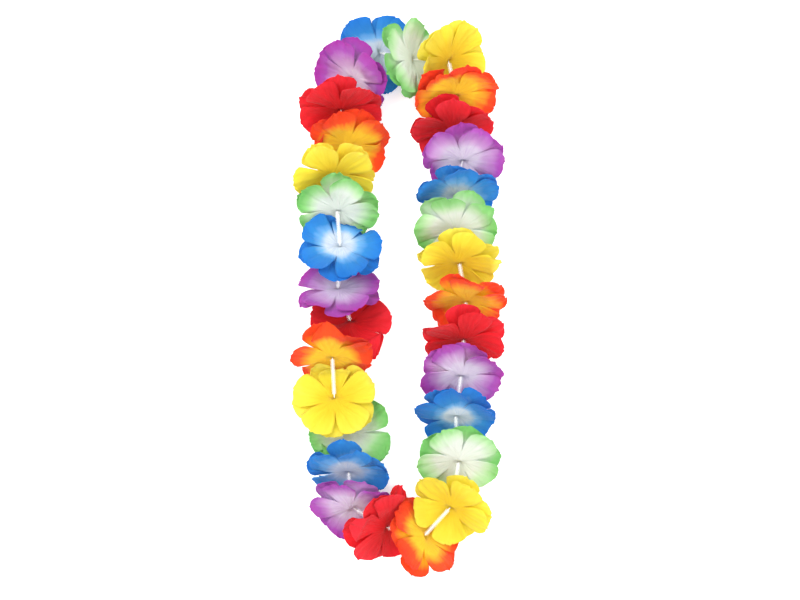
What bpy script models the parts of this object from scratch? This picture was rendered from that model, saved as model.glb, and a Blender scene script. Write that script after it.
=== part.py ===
"""Fabric flower lei: thirty two-layer blooms and clear straw spacers on one tied string.

The lei lies on a flat surface as a long closed loop. X is across the loop, Y along it and
Z is up, with the origin on the surface under the middle of the loop's box. Lengths are in
millimetres, and become metres when a mesh or a curve is made.
"""
import math
import random

import bmesh
import bpy
from mathutils import Matrix, Vector
from mathutils.bvhtree import BVHTree

MM = 0.001
UP = Vector((0.0, 0.0, 1.0))

# Die-cut fabric layer: five lobes round a small hole
LOBES = 5
LOBE_STEP = math.tau / LOBES
CUT_RADIUS = 38.5
HOLE_RADIUS = 2.15
DISC_RADIUS = 12.0
TIP_NOTCH = 1.4
LOBE_ROWS = ((20.5, 13.3), (31.0, 15.6), (CUT_RADIUS - 0.9, 8.2))
FABRIC_THICK = 0.7
LAYER_GAP = 2.4

# Straw spacers and string; each straw is checked against later cloth beyond its core's ends
STRAW_LENGTH = 31.0
STRAW_SPARE = 5.0
STRAW_CORE = 8.0
STRAW_RADIUS = 1.9
STRAW_BORE = 1.5
STRAW_SIDES = 6
STRING_RADIUS = 0.6
KNOT_RADIUS = 1.7
TAIL_LENGTH = 8.0
TOUCH_GAP = 0.3
SEAT_GAP = 0.3

# How the fabric lies on the surface and against what was laid down before it: the room that
# a lobe's course leaves to a surface, and the least that any of its cloth leaves
FLOOR_LEVEL = 0.25
PRESSED_FLAT = 0.55
LAYER_LIFT = 2.5
FLOOR_SOFT = 9.0
BLOOM_ROOM = (3.2, 1.4)
LAYER_ROOM = (1.5, 1.1)
STRAW_ROOM = (1.8, 1.1)
PLACE_ROOM = (3.0, 1.8)
SOFT_REACH = 7.0
DISC_OFF_STRAW = 5.0
RAISED_KEEP = 18.0
PLACE_SPREAD = math.radians(7.0)
MARCH_STEP = 1.0
ROW_TRIES = 40
ROW_SHIFT = 0.5
SHORTEST_ROW = 3.0
FOLD_STATION = 4
FOLD_TRIES = (0, 12, -12, 24, -24, 36, -36, 48, -48, 60, -60, 72, -72)

# Fabric colours, and the edge colour that each fades to
COLOURS = {
    "green": (0.42, 0.80, 0.40),
    "blue": (0.07, 0.30, 0.80),
    "purple": (0.50, 0.16, 0.62),
    "red": (0.76, 0.01, 0.02),
    "orange": (0.95, 0.26, 0.03),
    "yellow": (0.98, 0.82, 0.04),
}
COLOUR_ORDER = tuple(COLOURS)

# One row for each bloom, in the order on the string: hub across, along and up; the heading
# that its face looks to, in degrees from X; its lean from lying flat; how far its lobes cup;
# how far the raised lobes droop; the heading of one front lobe; the turn of the back layer.
BLOOM_ROWS = (
    (8, 209, 20, 20, 50, 14, -10, 100, 30),
    (-17, 213, 15, 60, 24, 0, -30, 60, 8),
    (-44, 190, 18, 225, 50, 6, -8, 110, 34),
    (-51, 163, 22, 270, 52, 4, -8, 140, 30),
    (-50, 136, 20, 268, 52, -4, -6, 118, 36),
    (-57, 110, 24, 272, 56, 4, -8, 126, 12),
    (-57, 78, 19, 270, 46, 6, -8, 64, 20),
    (-54, 43, 25, 88, 43, 7, -12, 3, 36),
    (-56, 6, 20, 90, 54, 6, -10, 165, 32),
    (-45, -22, 15, 80, 24, -6, -14, 84, 8),
    (-61, -52, 23, 275, 50, 0, -8, 228, 24),
    (-59, -89, 25, 90, 25, 4, -10, 94, 22),
    (-45, -120, 14, 110, 24, 3, -26, 110, 8),
    (-47, -152, 20, 265, 50, 10, -8, 70, 30),
    (-44, -184, 20, 258, 50, 4, -8, 120, 30),
    (-15, -201, 24, 320, 43, -2, -8, 80, 30),
    (19, -210, 19, 30, 50, 4, -8, 225, 34),
    (43, -184, 24, 235, 40, 8, -8, 273, 14),
    (50, -142, 20, 272, 36, 4, -8, 120, 34),
    (47, -103, 20, 270, 50, 6, -8, 102, 32),
    (52, -68, 20, 270, 44, 6, -8, 125, 30),
    (54, -36, 22, 270, 52, 8, -8, 60, 34),
    (56, -3, 20, 268, 56, 8, -8, 90, 30),
    (50, 31, 22, 272, 50, 6, -8, 65, 36),
    (47, 63, 22, 270, 44, 4, -8, 110, 36),
    (49, 92, 18, 270, 60, 6, -8, 80, 30),
    (51, 121, 23, 270, 44, 4, -8, 60, 34),
    (46, 148, 18, 272, 54, 8, -8, 90, 32),
    (46, 176, 24, 280, 50, 6, -8, 130, 34),
    (36, 205, 20, 320, 48, 6, -8, 120, 30),
)

# The order in which the blooms come down on the surface, the lowest first
LAYING_ORDER = (2, 10, 13, *range(30, 18, -1), 17, 18, 16, 15, 14, 11, 12, 9, 7, 8, 6, 5, 4, 3, 1)
BLOOM_COUNT = len(BLOOM_ROWS)
SEED = 52
DRAWS = 16
CALMER = 0.06


class Bloom:
    """Where one bloom sits on the string, how it leans and how each lobe bends."""

    def __init__(self, number, row):
        (x, y, z, heading, lean, cup, droop, spin, turn) = row
        self.number = number
        self.colour = COLOUR_ORDER[number % len(COLOUR_ORDER)]
        self.hub = Vector((x, y, z))
        facing, tilt = math.radians(heading), math.radians(lean)
        self.normal = Vector((math.sin(tilt) * math.cos(facing),
                              math.sin(tilt) * math.sin(facing), math.cos(tilt)))
        self.cup = math.radians(cup)
        self.droop = math.radians(droop)
        self.spin = {1: math.radians(spin), -1: math.radians(spin + turn)}
        self.ways, self.facing = (), self.normal
        self.draw_lobes(0)

    def draw_lobes(self, attempt):
        draw = random.Random(SEED + self.number + BLOOM_COUNT * attempt)
        spread = 1.0 - CALMER * attempt
        self.lobes = {side: [lobe_habit(draw, spread) for _ in range(LOBES)] for side in (1, -1)}

    def name(self):
        return f"bloom_{self.number + 1:02d}_{self.colour}"


def lobe_habit(draw, spread):
    """The small differences that make one lobe of crumpled fabric unlike the next."""
    return {
        "raise": math.radians(spread * draw.uniform(-8.0, 9.6)),
        "curl": math.radians(spread * draw.uniform(-25.6, 22.4)),
        "twist": math.radians(spread * draw.uniform(-22.4, 22.4)),
        "bowl": spread * draw.uniform(-2.6, 3.8),
        "wave": draw.uniform(0.7, 1.3),
        "phase": draw.uniform(0.0, math.tau),
    }


def turn_half_angle(before, here, after):
    """Half the angle through which the string turns at a hub."""
    return 0.5 * (here - before).angle(after - here)


def straw_standoff(half_angle):
    """From a hub's centre to the end of the straw that butts against its fabric."""
    face = 0.5 * (LAYER_GAP + FABRIC_THICK) + TOUCH_GAP
    return (face + STRAW_RADIUS * math.sin(half_angle)) / math.cos(half_angle)


def settle_hubs(hubs):
    """Slide the hubs along the loop until every gap takes a straw of about the cut length."""
    wanted = [hub.copy() for hub in hubs]
    count = len(hubs)
    rounds = 400
    for turn in range(rounds):
        standoffs = [straw_standoff(turn_half_angle(hubs[i - 1], hubs[i], hubs[(i + 1) % count]))
                     for i in range(count)]
        for i in range(count):
            after = (i + 1) % count
            span = hubs[after] - hubs[i]
            error = span.length - STRAW_LENGTH - standoffs[i] - standoffs[after]
            error = math.copysign(max(0.0, abs(error) - STRAW_SPARE), error)
            fix = span * (0.5 * error / span.length)
            hubs[i] += fix
            hubs[after] -= fix
        if turn < rounds // 2:
            for hub, home in zip(hubs, wanted):
                hub += (home - hub) * 0.05
    return hubs


def level_part(vector):
    flat = Vector((vector.x, vector.y, 0.0))
    return flat.normalized()


def smooth(value, low, high):
    part = min(1.0, max(0.0, (value - low) / (high - low)))
    return part * part * (3.0 - 2.0 * part)


def petal_heading(bloom, azimuth):
    """Unit vector in the bloom's plane that points to this heading as seen from above."""
    flat = Vector((math.cos(azimuth), math.sin(azimuth), 0.0))
    drop = -flat.dot(bloom.normal) / bloom.normal.z
    return (flat + UP * drop).normalized()


def lobe_axes(bloom, side):
    """The five lobe directions of one layer, an equal step apart in the bloom's plane."""
    first = petal_heading(bloom, bloom.spin[side])
    return [Matrix.Rotation(LOBE_STEP * i, 3, bloom.normal) @ first for i in range(LOBES)]


def lobe_lift(bloom, side, axis, habit):
    """Angle that a lobe makes with the bloom's plane where it leaves the disc."""
    spread = bloom.cup if side > 0 else bloom.cup - math.radians(5.0)
    return spread + habit["raise"] + bloom.droop * max(0.0, axis.z)


def layer_floor(side):
    return FLOOR_LEVEL + (LAYER_LIFT if side > 0 else 0.0)


def half_width(reach):
    """Half the width of a lobe of the flat pattern at this distance from the hole's centre."""
    rows = ((DISC_RADIUS, DISC_RADIUS * math.sin(0.5 * LOBE_STEP)), *LOBE_ROWS)
    for (near, wide), (far, narrow) in zip(rows, rows[1:]):
        if reach <= far:
            part = (reach - near) / (far - near)
            return wide + (narrow - wide) * part
    return rows[-1][1]


class Obstacles:
    """The surfaces already laid down, each with the room that a new lobe leaves to it."""

    def __init__(self, surfaces=()):
        self.surfaces = list(surfaces)

    def add(self, bm, rooms, owner=None):
        low = [min(vert.co[axis] for vert in bm.verts) for axis in range(3)]
        high = [max(vert.co[axis] for vert in bm.verts) for axis in range(3)]
        self.surfaces.append((BVHTree.FromBMesh(bm), rooms, low, high, owner))

    def without(self, owner):
        return Obstacles(surface for surface in self.surfaces if surface[4] is not owner)

    def clear_of(self, owner):
        """Give up the place that was kept for a bloom, once the bloom itself is laid."""
        self.surfaces = self.without(owner).surfaces

    def around(self, point, reach):
        for tree, (room, least), low, high, _ in self.surfaces:
            margin = reach + room
            if all(low[i] - margin < point[i] < high[i] + margin for i in range(3)):
                yield tree, room, least

    def near(self, point, reach):
        """Signed room to each surface within reach, with the way out from it."""
        for tree, room, _ in self.around(point, reach):
            place, _, _, distance = tree.find_nearest(point, reach + room)
            if place is not None and distance > 0.01:
                yield distance - room, (point - place) / distance

    def closeness(self, start, end):
        """How much a straight way from start to end is short of room: 0 where it is clear."""
        span = end - start
        worst = 0.0
        for tree, room, _ in self.around(start, span.length):
            hit = tree.ray_cast(start, span.normalized(), span.length + 0.5 * room)
            if hit[0] is not None:
                worst = max(worst, span.length + room - hit[3])
            for place in (end, start.lerp(end, 0.6)):
                distance = tree.find_nearest(place, 0.8 * room)[3]
                if distance is not None:
                    worst = max(worst, 0.8 * room - distance)
        return worst

    def ways_out(self, inner, outer):
        """Directions in which a strip of cloth has to move to clear what it crosses."""
        strip = BVHTree.FromPolygons(
            [*inner, *outer], [(0, 1, 4), (0, 4, 3), (1, 2, 4), (2, 5, 4)])
        samples = [near.lerp(far, part) for near, far in cloth_pairs(inner, outer)
                   for part in (0.25, 0.5, 0.75, 1.0)]
        root, middle = inner[1], outer[1]
        found = []
        for tree, _, least in self.around(middle, (middle - root).length + 12.0):
            close = any(tree.find_nearest(sample, least)[0] is not None for sample in samples)
            if close or tree.overlap(strip):
                way_out = root - tree.find_nearest(root)[0]
                span = middle - root
                if tree.ray_cast(root, span.normalized(), span.length)[0] is None:
                    beyond = middle - tree.find_nearest(middle)[0]
                    way_out = way_out.normalized() + beyond.normalized()
                if way_out.length > 0.01:
                    found.append(way_out.normalized())
        return found


def cloth_pairs(inner, outer):
    """Lines across a strip of cloth from its inner corners to its outer ones."""
    halves = [inner[0].lerp(inner[1], 0.5), inner[1].lerp(inner[2], 0.5)]
    far_halves = [outer[0].lerp(outer[1], 0.5), outer[1].lerp(outer[2], 0.5)]
    return [*zip(inner, outer), *zip(halves, far_halves)]


def steer(obstacles, side, point, heading):
    """Turn a lobe's course along whatever it comes close to, and along the surface."""
    for room, outward in obstacles.near(point, SOFT_REACH):
        closing = heading.dot(outward)
        allowed = -min(1.0, room / SOFT_REACH) if room > 0.0 else 0.35
        if closing < allowed:
            heading = (heading + outward * (allowed - closing)).normalized()
    room = point.z - layer_floor(side)
    least = -min(1.0, room / FLOOR_SOFT) if room > 0.0 else min(0.3, -room / FLOOR_SOFT)
    if heading.z < least:
        level = level_part(heading) * math.sqrt(1.0 - least * least)
        heading = level + UP * least
    return heading


def off_straws(bloom, side, point, nearest):
    """Press a point of the disc back until it clears the straw that leaves on its side."""
    for way in bloom.ways:
        before = 1 if way.dot(bloom.normal) > 0.0 else -1
        square = bloom.normal * before
        clear = nearest if side == before else nearest + LAYER_GAP
        rise = way.dot(square)
        run = math.sqrt(max(0.0, 1.0 - rise * rise))
        if run < 0.1:
            continue
        along = (way - square * rise) / run
        reach = point - bloom.hub
        beside = reach.dot(square.cross(along))
        ahead = reach.dot(along)
        if ahead > 0.0 and abs(beside) < clear:
            most = (ahead * rise - math.sqrt(clear * clear - beside * beside)) / run
            point = point - square * max(0.0, reach.dot(square) - most)
    return point


class Layer:
    """One die-cut layer of a bloom, in front (side 1) or behind (side -1)."""

    def __init__(self, bloom, side, obstacles):
        self.bloom, self.side, self.obstacles = bloom, side, obstacles
        self.axes = lobe_axes(bloom, side)
        self.lifts = [lobe_lift(bloom, side, axis, habit)
                      for axis, habit in zip(self.axes, bloom.lobes[side])]
        self.offset = 0.5 * LAYER_GAP * side
        self.lobes = [Lobe(self, index) for index in range(LOBES)]

    def disc_point(self, radius, lobe_turn):
        """A point of the uncut middle, at this radius and this many lobe steps round."""
        first, part = int(lobe_turn) % LOBES, lobe_turn - int(lobe_turn)
        blend = 0.5 - 0.5 * math.cos(math.pi * part)
        lift = self.lifts[first] * (1.0 - blend) + self.lifts[(first + 1) % LOBES] * blend
        angle = 0.5 * lift * radius / DISC_RADIUS
        normal = self.bloom.normal
        axis = Matrix.Rotation(LOBE_STEP * part, 3, normal) @ self.axes[first]
        point = radius * (axis * math.cos(angle) + normal * math.sin(angle))
        nearest = DISC_OFF_STRAW * radius / DISC_RADIUS
        return off_straws(self.bloom, self.side,
                          self.bloom.hub + normal * self.offset + point, nearest)

    def hole_point(self, lobe_turn):
        """A point of the hole's rim, which the straws hold square to the string."""
        first, part = int(lobe_turn) % LOBES, lobe_turn - int(lobe_turn)
        bloom = self.bloom
        axis = Matrix.Rotation(LOBE_STEP * part, 3, bloom.normal) @ self.axes[first]
        square = bloom.normal.rotation_difference(bloom.facing) @ axis
        return bloom.hub + bloom.facing * self.offset + square * HOLE_RADIUS


class Lobe:
    """One lobe's spine, followed outward from the disc, with the way across it."""

    def __init__(self, layer, index):
        self.layer, self.side = layer, layer.side
        self.axis, self.lift = layer.axes[index], layer.lifts[index]
        normal, droop = layer.bloom.normal, layer.bloom.droop * max(0.0, self.axis.z)
        self.habit = layer.bloom.lobes[layer.side][index]
        self.across = normal.cross(self.axis)
        point = layer.disc_point(DISC_RADIUS, index)
        self.points, self.headings = [point], []
        steps = int(math.ceil((CUT_RADIUS + 2.0 - DISC_RADIUS) / MARCH_STEP))
        for step in range(steps):
            out = step * MARCH_STEP / (CUT_RADIUS - DISC_RADIUS)
            angle = self.lift + (self.habit["curl"] + droop) * out
            heading = self.axis * math.cos(angle) + normal * math.sin(angle)
            heading = steer(layer.obstacles, self.side, point, heading)
            self.headings.append(heading)
            point = point + heading * MARCH_STEP
            self.points.append(point)
        self.folds = {hand: self.fold_course(hand) for hand in (1, -1)}

    def frame_at(self, step):
        """Along, across and face directions at a step of the spine, and how flat it lies."""
        spine, heading = self.points[step], self.headings[step]
        level = 1.0 - smooth(spine.z - layer_floor(self.side), 0.0, FLOOR_SOFT)
        across = self.across.lerp(level_part(self.across), level)
        across = (across - heading * across.dot(heading)).normalized()
        out = step * MARCH_STEP / (CUT_RADIUS - DISC_RADIUS)
        twist = self.habit["twist"] * out * (1.0 - level)
        facing = heading.cross(across)
        across, facing = (across * math.cos(twist) + facing * math.sin(twist),
                          facing * math.cos(twist) - across * math.sin(twist))
        return heading, across, facing, level

    def fold_course(self, hand):
        """How far one half of the lobe folds about the spine, at stations along it."""
        course = []
        for step in range(0, len(self.headings), FOLD_STATION):
            _, across, facing, _ = self.frame_at(step)
            wide = half_width(DISC_RADIUS + step * MARCH_STEP)
            course.append(self.least_fold(self.points[step], across * hand, facing, wide))
        padded = [course[0], *course, course[-1]]
        return [0.25 * before + 0.5 * here + 0.25 * after
                for before, here, after in zip(padded, padded[1:], padded[2:])]

    def least_fold(self, spine, across, facing, wide):
        best, least = 0.0, math.inf
        for degrees in FOLD_TRIES:
            turn = math.radians(degrees)
            edge = spine + wide * (across * math.cos(turn) + facing * math.sin(turn))
            short = max(self.layer.obstacles.closeness(spine, edge),
                        layer_floor(self.side) - 0.6 - edge.z)
            if short <= 0.0:
                return turn
            if short < least:
                best, least = turn, short
        return best

    def at(self, reach, width):
        """Place of a point of the flat pattern, from its distances along and across the lobe."""
        steps = max(0.0, (reach - DISC_RADIUS) / MARCH_STEP)
        whole = min(int(steps), len(self.headings) - 1)
        spine = self.points[whole].lerp(self.points[whole + 1], steps - whole)
        _, across, facing, level = self.frame_at(whole)
        edge = abs(width) / LOBE_ROWS[1][1]
        course = self.folds[1 if width >= 0.0 else -1]
        station = min(steps / FOLD_STATION, len(course) - 1.001)
        low = int(station)
        fold = course[low] + (course[low + 1] - course[low]) * (station - low)
        turn = fold * smooth(edge, 0.0, 0.6)
        bulge = self.habit["bowl"] * edge * edge * (1.0 - 0.6 * level)
        ripple = math.sin(math.tau * reach / 19.0 + self.habit["phase"] + width * 0.16)
        out = (reach - DISC_RADIUS) / (CUT_RADIUS - DISC_RADIUS)
        bulge += self.habit["wave"] * edge * out * ripple
        sideways = width * math.cos(turn)
        outward = abs(width) * math.sin(turn) + bulge
        return self.kept_clear(spine + across * sideways + facing * outward)

    def kept_clear(self, point):
        """Keep a point of a lobe's side off the surface and off what lies there already."""
        for room, outward in self.layer.obstacles.near(point, 0.0):
            point = point - outward * (0.6 * room)
        lowest = layer_floor(self.side)
        if point.z < lowest:
            point = Vector((point.x, point.y, lowest))
        return point


def grow_layer(bm, layer):
    """One die-cut layer: a ring round the hole, the disc, and five lobes extruded from it."""
    ring = 2 * LOBES
    hole = bmesh.ops.create_circle(bm, segments=ring, radius=1.0)["verts"]
    hole_edges = [bm.edges.get((hole[i], hole[(i + 1) % ring])) for i in range(ring)]
    disc = extrude_row(bm, hole_edges, hole)
    for i in range(ring):
        hole[i].co = layer.hole_point(0.5 * i)
        disc[i].co = layer.disc_point(DISC_RADIUS, 0.5 * i)
    for i, lobe in enumerate(layer.lobes):
        row = [disc[(2 * i - 1) % ring], disc[2 * i], disc[2 * i + 1]]
        for reach, width in LOBE_ROWS:
            edges = [bm.edges.get((row[0], row[1])), bm.edges.get((row[1], row[2]))]
            inner = [vert.co.copy() for vert in row]
            row = extrude_row(bm, edges, row)
            middle = reach - TIP_NOTCH if reach > CUT_RADIUS - 2.0 else reach + 1.2
            places = [lobe.at(reach, -width), lobe.at(middle, 0.0), lobe.at(reach, width)]
            for vert, place in zip(row, clear_row(layer, inner, places)):
                vert.co = place
    return hole_edges


def clear_row(layer, inner, outer):
    """Move a lobe's next row of corners until the cloth up to it passes what lies there."""
    lowest = layer_floor(layer.side)
    for attempt in range(ROW_TRIES):
        ways_out = layer.obstacles.ways_out(inner, outer)
        if not ways_out:
            break
        for way_out in ways_out:
            outer = [corner + way_out * ROW_SHIFT for corner in outer]
        if attempt > ROW_TRIES // 3 and (outer[1] - inner[1]).length > SHORTEST_ROW:
            outer = [corner.lerp(root, 0.12) for corner, root in zip(outer, inner)]
        outer = [Vector((corner.x, corner.y, max(corner.z, lowest))) for corner in outer]
    return outer


def extrude_row(bm, edges, verts):
    """Extrude a row of edges and return its new corners in the order of the old ones."""
    grown = bmesh.ops.extrude_edge_only(bm, edges=edges)["geom"]
    fresh = {item for item in grown if isinstance(item, bmesh.types.BMVert)}
    return [next(edge.other_vert(vert) for edge in vert.link_edges
                 if edge.other_vert(vert) in fresh) for vert in verts]


def reserve_place(bloom, obstacles):
    """Keep a bloom's middle, and its raised side, free of the lobes that are laid before it."""
    flat_side = level_part(bloom.normal)
    uphill = (UP * bloom.normal.dot(flat_side) - flat_side * bloom.normal.z).normalized()
    for side in (1, -1):
        bm = bmesh.new()
        rim = bmesh.ops.create_circle(bm, cap_ends=True, segments=16, radius=1.0)["verts"]
        bmesh.ops.poke(bm, faces=bm.faces)
        centre = next(vert for vert in bm.verts if vert not in rim)
        centre.co = bloom.hub + bloom.normal * (0.5 * LAYER_GAP * side)
        angle = bloom.cup + (PLACE_SPREAD if side > 0 else -1.5 * PLACE_SPREAD)
        for i, vert in enumerate(rim):
            axis = Matrix.Rotation(math.tau * i / len(rim), 3, bloom.normal) @ uphill
            radius = DISC_RADIUS + RAISED_KEEP * (0.5 + 0.5 * axis.dot(uphill))
            vert.co = centre.co + radius * (axis * math.cos(angle) + bloom.normal * math.sin(angle))
        obstacles.add(bm, PLACE_ROOM, bloom)
        bm.free()


def grow_bloom(bloom, obstacles):
    """Two layers joined by the short sleeve of fabric at the hole."""
    bm = bmesh.new()
    others = obstacles.without(bloom)
    rims = grow_layer(bm, Layer(bloom, -1, others))
    others.add(bm, LAYER_ROOM)
    rims += grow_layer(bm, Layer(bloom, 1, others))
    bmesh.ops.bridge_loops(bm, edges=rims)
    bmesh.ops.triangulate(bm, faces=bm.faces, quad_method="FIXED")
    bmesh.ops.recalc_face_normals(bm, faces=bm.faces)
    return bm


def thicken(bm, name, collection):
    """Give a bloom's sheet its thickness, flat where it touches the surface."""
    sheet = bpy.data.meshes.new(name + "_sheet")
    bm.to_mesh(sheet)
    sheet.transform(Matrix.Scale(MM, 4))
    piece = bpy.data.objects.new(name, sheet)
    collection.objects.link(piece)
    shell = piece.modifiers.new("fabric", "SOLIDIFY")
    shell.thickness = FABRIC_THICK * MM
    shell.offset = 0.0
    shell.use_even_offset = False
    piece.modifiers.new("facets", "TRIANGULATE")
    flatten_modifiers(piece)
    for vert in piece.data.vertices:
        if vert.co.z < PRESSED_FLAT * MM:
            vert.co.z = 0.0
    return piece


def crossings(piece, surface, laid):
    """How many facets of a piece pass through its others, or through what is laid already."""
    faces = [set(polygon.vertices) for polygon in piece.data.polygons]
    own = sum(1 for a, b in surface.overlap(surface) if a < b and not faces[a] & faces[b])
    return own + sum(len(surface.overlap(other)) for other in laid)


def make_bloom(bloom, obstacles, laid, material, collection):
    """Lay one bloom, its lobes drawn again until no part of the cloth passes through another."""
    best, fewest = 0, math.inf
    for attempt in (*range(DRAWS), None):
        bloom.draw_lobes(best if attempt is None else attempt)
        bm = grow_bloom(bloom, obstacles)
        piece = thicken(bm, bloom.name(), collection)
        surface = solid_surface(piece)
        faults = crossings(piece, surface, laid.values())
        if faults == 0 or attempt is None:
            break
        if faults < fewest:
            best, fewest = attempt, faults
        bm.free()
        bpy.data.meshes.remove(piece.data)
    obstacles.clear_of(bloom)
    obstacles.add(bm, BLOOM_ROOM, bloom)
    bm.free()
    laid[bloom] = surface
    finish(piece, material)


def flatten_modifiers(piece):
    """Replace an object's mesh by its evaluated mesh."""
    graph = bpy.context.evaluated_depsgraph_get()
    done = bpy.data.meshes.new_from_object(piece.evaluated_get(graph))
    done.name = piece.name
    old = piece.data
    piece.modifiers.clear()
    piece.data = done
    bpy.data.meshes.remove(old)


def finish(piece, material):
    piece.data.materials.clear()
    piece.data.materials.append(material)
    piece.data.shade_smooth()
    piece.data.set_sharp_from_angle(angle=math.radians(50.0))


def straw_tube(start, end):
    """An open tube between two points of the string, in millimetres."""
    bm = bmesh.new()
    bmesh.ops.create_cone(bm, segments=STRAW_SIDES, radius1=STRAW_RADIUS, radius2=STRAW_RADIUS,
                          depth=(end - start).length, cap_ends=False)
    flats_up = Matrix.Rotation(math.pi / STRAW_SIDES, 4, "Z")
    place = (Matrix.Translation(start.lerp(end, 0.5))
             @ (end - start).to_track_quat("Z", "Y").to_matrix().to_4x4() @ flats_up)
    bmesh.ops.transform(bm, matrix=place, verts=bm.verts)
    return bm


def straw_seat(hub, way, cloth):
    """Where a straw that comes in along the string butts against a bloom's cloth."""
    beside = way.orthogonal().normalized()
    farthest = 0.0
    for i in range(2 * STRAW_SIDES):
        spoke = Matrix.Rotation(math.tau * i / (2 * STRAW_SIDES), 3, way) @ beside
        start = hub + spoke * (STRAW_RADIUS + 0.1) + way * 0.4 * STRAW_LENGTH
        hit = cloth.ray_cast(start, -way)[0]
        if hit is not None:
            farthest = max(farthest, (hit - hub).dot(way))
    return hub + way * (farthest + SEAT_GAP)


def solid_surface(piece):
    """The skin of a finished piece in millimetres, to measure against."""
    bm = bmesh.new()
    bm.from_mesh(piece.data)
    bmesh.ops.scale(bm, vec=(1.0 / MM, 1.0 / MM, 1.0 / MM), verts=bm.verts)
    surface = BVHTree.FromBMesh(bm)
    bm.free()
    return surface


def make_straw(number, start, end, material, collection):
    """A cut length of drinking straw: an open tube wall with Solidify."""
    wall = STRAW_RADIUS - STRAW_BORE
    bm = straw_tube(start, end)
    bmesh.ops.scale(bm, vec=(MM, MM, MM), verts=bm.verts)
    mesh = bpy.data.meshes.new(f"straw_{number:02d}")
    bm.to_mesh(mesh)
    bm.free()
    piece = bpy.data.objects.new(f"straw_{number:02d}", mesh)
    collection.objects.link(piece)
    shell = piece.modifiers.new("wall", "SOLIDIFY")
    shell.thickness = wall * MM
    shell.offset = -1.0
    finish(piece, material)
    return piece


def string_route(blooms):
    """Straight inside each straw, with a small bend inside each bloom's hole."""
    route = []
    count = len(blooms)
    for i, bloom in enumerate(blooms):
        before, after = blooms[i - 1].hub, blooms[(i + 1) % count].hub
        back = (before - bloom.hub).normalized()
        ahead = (after - bloom.hub).normalized()
        stand = straw_standoff(turn_half_angle(before, bloom.hub, after)) + 0.6
        start, end = bloom.hub + back * stand, bloom.hub + ahead * stand
        route += [start, bloom.hub, end]
    return route


def make_string(blooms, material, collection):
    """The string as a closed wire, with its knot and two tails in the gap with no straw."""
    curve = bpy.data.curves.new("string_route", "CURVE")
    curve.dimensions = "3D"
    curve.bevel_depth = STRING_RADIUS * MM
    curve.bevel_resolution = 0
    route = string_route(blooms)
    spline = curve.splines.new("POLY")
    spline.points.add(len(route) - 1)
    for knot, place in zip(spline.points, route):
        knot.co = (*(place * MM), 1.0)
    spline.use_cyclic_u = True
    guide = bpy.data.objects.new("string_route", curve)
    collection.objects.link(guide)
    graph = bpy.context.evaluated_depsgraph_get()
    mesh = bpy.data.meshes.new_from_object(guide.evaluated_get(graph))
    bpy.data.objects.remove(guide)
    bpy.data.curves.remove(curve)
    mesh.name = "string"
    piece = bpy.data.objects.new("string", mesh)
    collection.objects.link(piece)
    ends = knot_parts(blooms)
    tied = piece.modifiers.new("knot", "BOOLEAN")
    tied.operation = "UNION"
    tied.operand_type = "COLLECTION"
    tied.collection = ends
    flatten_modifiers(piece)
    for part in list(ends.objects):
        bpy.data.objects.remove(part)
    bpy.data.collections.remove(ends)
    finish(piece, material)
    return piece


def tail_courses(blooms):
    """Where the knot sits, and the ways that its two cut tails hang from it."""
    last, first = blooms[-1].hub, blooms[0].hub
    along = (first - last).normalized()
    side = along.cross(UP).normalized()
    courses = [(along * sign * 0.25 - UP * 0.7 + side * 0.6 * sign).normalized()
               for sign in (-1.0, 1.0)]
    return last.lerp(first, 0.5), courses


def knot_parts(blooms):
    """The knot's lump and the two cut tails, ready to be joined to the string."""
    parts = bpy.data.collections.new("knot_parts")
    bpy.context.scene.collection.children.link(parts)
    middle, courses = tail_courses(blooms)
    bm = bmesh.new()
    bmesh.ops.create_uvsphere(bm, u_segments=8, v_segments=6, radius=KNOT_RADIUS * MM)
    lump_mesh = bpy.data.meshes.new("knot_lump")
    bm.to_mesh(lump_mesh)
    bm.free()
    lump = bpy.data.objects.new("knot_lump", lump_mesh)
    lump.location = middle * MM
    parts.objects.link(lump)
    for course in courses:
        start = middle + course * 0.8
        bm = bmesh.new()
        bmesh.ops.create_cone(bm, segments=5, cap_ends=True, depth=TAIL_LENGTH * MM,
                              radius1=STRING_RADIUS * MM, radius2=STRING_RADIUS * 0.8 * MM)
        tail_mesh = bpy.data.meshes.new("knot_tail")
        bm.to_mesh(tail_mesh)
        bm.free()
        tail = bpy.data.objects.new("knot_tail", tail_mesh)
        tail.matrix_world = (Matrix.Translation((start + course * 0.5 * TAIL_LENGTH) * MM)
                             @ course.to_track_quat("Z", "Y").to_matrix().to_4x4())
        parts.objects.link(tail)
    return parts


def make_material(name, colour, roughness, alpha=1.0):
    material = bpy.data.materials.new(name)
    material.use_nodes = True
    shader = material.node_tree.nodes["Principled BSDF"]
    shader.inputs["Base Color"].default_value = (*colour, 1.0)
    shader.inputs["Roughness"].default_value = roughness
    shader.inputs["Metallic"].default_value = 0.0
    shader.inputs["Alpha"].default_value = alpha
    material.diffuse_color = (*colour, alpha)
    return material


def place_blooms():
    """Read the rows, settle the hubs on the string and note which way it leaves each."""
    blooms = [Bloom(number, row) for number, row in enumerate(BLOOM_ROWS)]
    hubs = settle_hubs([bloom.hub for bloom in blooms])
    for bloom, hub in zip(blooms, hubs):
        bloom.hub = hub
    for i, bloom in enumerate(blooms):
        back = (hubs[i - 1] - bloom.hub).normalized()
        ahead = (hubs[(i + 1) % BLOOM_COUNT] - bloom.hub).normalized()
        bloom.ways = (back, ahead)
        string_way = (ahead - back).normalized()
        bloom.facing = string_way if string_way.dot(bloom.normal) > 0.0 else -string_way
    return blooms


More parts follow.
